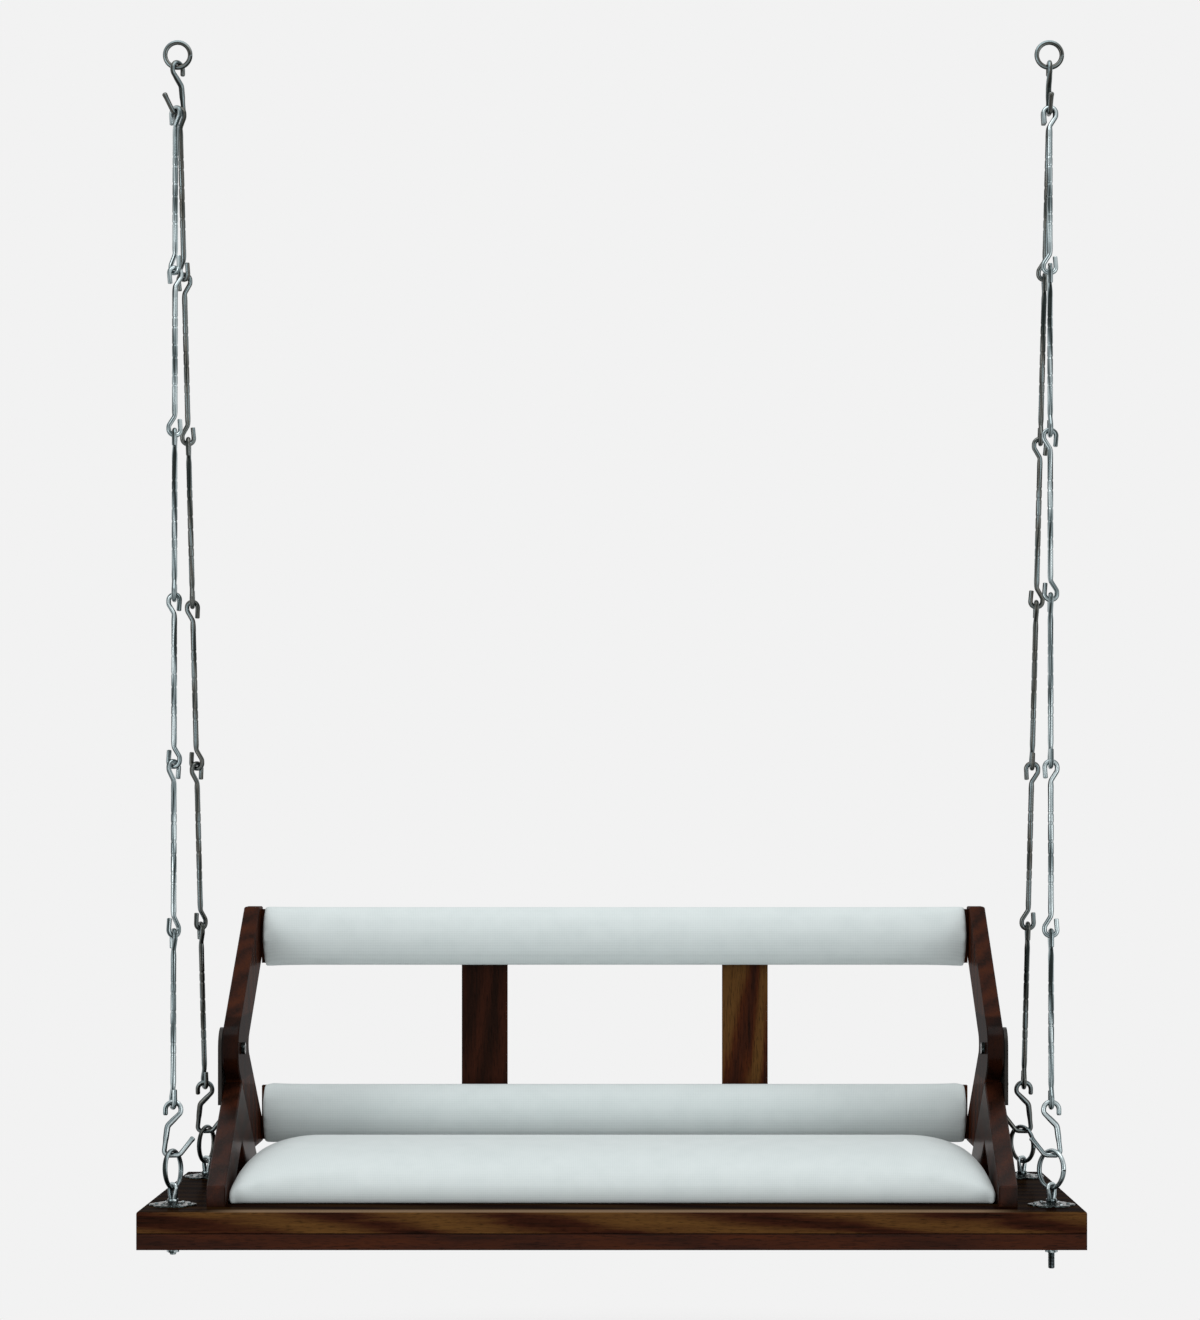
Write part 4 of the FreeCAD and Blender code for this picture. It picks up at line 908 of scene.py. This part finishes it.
class SWING_OT_fill_cushions(bpy.types.Operator):
    """Sew and fill the seat cushion and the two back pads"""
    bl_idname = "swing.fill_cushions"
    bl_label = "Fill cushions"

    def execute(self, context):
        sizes = context.scene.swing_cushions
        tones = context.scene.swing_finishes
        cover = woven_cover("woven_cover", (tones.cloth, tones.cloth_shade), sizes.thread)
        self.seat(sizes, cover)
        for name in ("upper", "lower"):
            self.back_pad(name, sizes, cover)
        return {"FINISHED"}

    def seat(self, sizes, cover):
        """Loose seat cushion: flat below, a low rim and a crowned top that slopes down to both ends.

        With v from -1 to 1 across the depth, the top is rim + rise (1 - |v|^2.8)^0.55 f(x), and f falls
        from 1 as a quarter ellipse over the last 125 mm. The long sides draw in by 3 mm at the middle, and
        the crown has settled a little.
        """
        low, high = np.array(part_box("seat_cushion"))
        high[2] -= sizes.seat_settle
        half_length, half_depth, height = (high - low) / (2, 2, 1) - sizes.start_gap / 3
        rim, slope, draw = 0.014, 0.125, 0.003
        across = np.sin(np.linspace(-math.pi / 2, math.pi / 2, 61))
        x = half_length * np.sin(np.linspace(-math.pi / 2, math.pi / 2, 121))[:, None]
        past = np.clip((np.abs(x) - half_length + slope) / slope, 0, 1)
        fullness = np.sqrt(1 - past ** 2)
        depth = half_depth - draw * (1 - (x / half_length) ** 2)
        top = rim + (height - rim) * (1 - np.abs(across) ** 2.8) ** 0.55 * fullness
        section = np.concatenate([across, across[::-1]])
        grid = np.stack(np.broadcast_arrays(
            x, depth * section, np.concatenate([top, np.zeros_like(top)], axis=1),
        ), axis=-1)
        middle = ((low[0] + high[0]) / 2, (low[1] + high[1]) / 2, low[2] + COVER_GAP)
        sewn = [placed(skin(grid), middle)]
        piece = make_piece("filled_seat_cushion", sewn, cover, "seat", ["seat_cushion"])
        low[2] += COVER_GAP
        fill_with_air(piece, sizes, sizes.seat_swell, 2, low[2])
        soften(piece, low, high)

    def back_pad(self, name, sizes, cover):
        """Padded rail: flat behind, an edge 14 mm thick and an even crown in front.

        With v from -1 to 1 up the pad, the front lies edge + rise (1 - v^2) before the board. The ends
        are tucked in by 2 mm over their last 40 mm, because filling draws the long edges in between them.
        """
        low, high = np.array(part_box(f"{name}_pad"))
        half_length, thick, half_height = (high - low) / (2, 1, 2) - sizes.start_gap / 3
        edge, tucked, tuck = 0.014, 0.040, 0.002
        up = np.linspace(-1, 1, 41)
        front = -edge - (thick - edge) * (1 - up ** 2)
        x = half_length * np.linspace(-1, 1, 61)[:, None]
        rise = half_height - tuck * np.clip((np.abs(x) - half_length + tucked) / tucked, 0, 1) ** 2
        grid = np.stack(np.broadcast_arrays(
            x, np.concatenate([front, np.zeros_like(front)]), rise * np.concatenate([up, up[::-1]]),
        ), axis=-1)
        middle = ((low[0] + high[0]) / 2, high[1] - COVER_GAP, (low[2] + high[2]) / 2)
        sewn = [placed(skin(grid), middle)]
        piece = make_piece(f"filled_{name}_pad", sewn, cover, "backrest", [f"{name}_pad"])
        high[1] -= COVER_GAP
        fill_with_air(piece, sizes, sizes.pad_swell, 1, high[1])
        soften(piece, low, high)


# Stage

def studio_world(backdrop):
    """Even pale surround, seen as the plain backdrop by the camera, in gloss and through glass."""
    world = bpy.data.worlds.new("studio")
    world.use_nodes = True
    tree = world.node_tree
    tree.nodes.clear()
    rays = add(tree, "ShaderNodeLightPath")
    seen = add(tree, "ShaderNodeMath", {0: rays.outputs["Is Camera Ray"], 1: rays.outputs["Is Glossy Ray"]},
               operation="MAXIMUM")
    seen = add(tree, "ShaderNodeMath", {0: seen.outputs[0], 1: rays.outputs["Is Transmission Ray"]},
               operation="MAXIMUM")
    surround = add(tree, "ShaderNodeBackground", {"Color": (1, 1, 1, 1), "Strength": 0.42})
    plain = add(tree, "ShaderNodeBackground", {"Color": backdrop, "Strength": 1.0})
    both = add(tree, "ShaderNodeMixShader", {
        0: seen.outputs[0], 1: surround.outputs[0], 2: plain.outputs[0],
    })
    add(tree, "ShaderNodeOutputWorld", {"Surface": both.outputs[0]})
    return world


def floor_material(backdrop):
    """Pale matt floor that fades into the backdrop away from the seat."""
    material, tree = new_material("pale_floor")
    place = add(tree, "ShaderNodeTexCoord").outputs["Object"]
    reach = add(tree, "ShaderNodeVectorMath", {0: place}, operation="LENGTH")
    fade = add(tree, "ShaderNodeMapRange", {
        "Value": reach.outputs["Value"], "From Min": 0.9, "From Max": 2.3,
    }, interpolation_type="SMOOTHSTEP")
    paint = add(tree, "ShaderNodeBsdfDiffuse", {"Color": backdrop})
    clear = add(tree, "ShaderNodeBsdfTransparent")
    both = add(tree, "ShaderNodeMixShader", {0: fade.outputs[0], 1: paint.outputs[0], 2: clear.outputs[0]})
    finish_material(tree, both)
    return material


def area_lamp(name, place, target, width, height, watts, mirrored=True):
    """Soft box that points at a target, and shows in gloss only where it is mirrored."""
    lamp = bpy.data.lights.new(name, "AREA")
    lamp.shape = "RECTANGLE"
    lamp.size, lamp.size_y = width, height
    lamp.energy = watts
    item = bpy.data.objects.new(name, lamp)
    bpy.context.scene.collection.objects.link(item)
    item.location = place
    direction = np.array(target) - np.array(place)
    yaw = math.atan2(-direction[0], direction[1])
    pitch = math.atan2(np.hypot(direction[0], direction[1]), -direction[2])
    item.rotation_euler = (pitch, 0, yaw)
    item.visible_glossy = mirrored


class SWING_OT_set_stage(bpy.types.Operator):
    """Set the floor, the soft light and the camera"""
    bl_idname = "swing.set_stage"
    bl_label = "Set stage"

    def execute(self, context):
        stage = context.scene.swing_stage
        scene = context.scene
        scene.world = studio_world(tuple(stage.backdrop))
        scene.view_settings.view_transform = "Standard"
        half = 2.4
        mesh = bpy.data.meshes.new("studio_floor")
        corners = [(-half, -half, 0), (half, -half, 0), (half, half, 0), (-half, half, 0)]
        mesh.from_pydata(corners, [], [(0, 1, 2, 3)])
        mesh.materials.append(floor_material(tuple(stage.backdrop)))
        floor = bpy.data.objects.new("studio_floor", mesh)
        floor.location = (0, PIVOT[1], DECK_TOP - stage.floor_drop)
        scene.collection.objects.link(floor)
        seat = (0, PIVOT[1], DECK_TOP + 0.2)
        area_lamp("top_box", (0, -0.6, 1.6), seat, 3.2, 2.4, 56)
        area_lamp("left_box", (-3.2, -3.4, -0.7), seat, 1.6, 2.2, 36)
        area_lamp("right_box", (3.4, -3.2, -0.8), seat, 1.6, 2.2, 29)
        area_lamp("front_box", (0, -4.9, -1.0), seat, 2.4, 1.0, 34, mirrored=False)
        self.set_camera(stage, scene)
        return {"FINISHED"}

    def set_camera(self, stage, scene):
        """Level camera with its optical axis set off from the middle of the frame."""
        data = bpy.data.cameras.new("photo_camera")
        data.sensor_width = data.sensor_height = SENSOR
        data.lens = stage.focal_pixels / FRAME_HEIGHT * SENSOR
        data.shift_x = -stage.axis_across / FRAME_HEIGHT
        data.shift_y = stage.axis_down / FRAME_HEIGHT
        camera = bpy.data.objects.new("photo_camera", data)
        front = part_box("deck_board_1")[0][1]
        camera.location = (stage.camera_side, front - stage.camera_distance, DECK_TOP + stage.camera_height)
        camera.rotation_euler = (math.radians(90), 0, 0)
        scene.collection.objects.link(camera)
        scene.camera = camera


OPERATORS = (
    SWING_OT_lacquer_wood,
    SWING_OT_hang_chains,
    SWING_OT_set_eyebolts,
    SWING_OT_fit_pivots,
    SWING_OT_fill_cushions,
    SWING_OT_set_stage,
)
GROUPS = {
    "swing_chains": SwingChainSizes,
    "swing_cushions": SwingCushionSizes,
    "swing_finishes": SwingFinishes,
    "swing_stage": SwingStage,
}


class SWING_PT_sidebar(bpy.types.Panel):
    """Sizes, colours and steps of the swing seat"""
    bl_idname = "SWING_PT_sidebar"
    bl_label = "Hanging swing seat"
    bl_space_type = "VIEW_3D"
    bl_region_type = "UI"
    bl_category = "Swing"

    def draw(self, context):
        for name, group in GROUPS.items():
            box = self.layout.box()
            for key in group.__annotations__:
                box.prop(getattr(context.scene, name), key)
        for operator in OPERATORS:
            self.layout.operator(operator.bl_idname)


def register():
    """Register the settings, the steps and the panel."""
    for name, group in GROUPS.items():
        bpy.utils.register_class(group)
        setattr(bpy.types.Scene, name, bpy.props.PointerProperty(type=group))
    for item in (*OPERATORS, SWING_PT_sidebar):
        bpy.utils.register_class(item)


def unregister():
    """Take the panel, the steps and the settings away again."""
    for item in reversed((*OPERATORS, SWING_PT_sidebar)):
        bpy.utils.unregister_class(item)
    for name, group in GROUPS.items():
        delattr(bpy.types.Scene, name)
        bpy.utils.unregister_class(group)


def main():
    """Run every step."""
    register()
    bpy.ops.swing.lacquer_wood()
    bpy.ops.swing.hang_chains()
    bpy.ops.swing.set_eyebolts()
    bpy.ops.swing.fit_pivots()
    bpy.ops.swing.fill_cushions()
    bpy.ops.swing.set_stage()


if __name__ == "__main__":
    main()
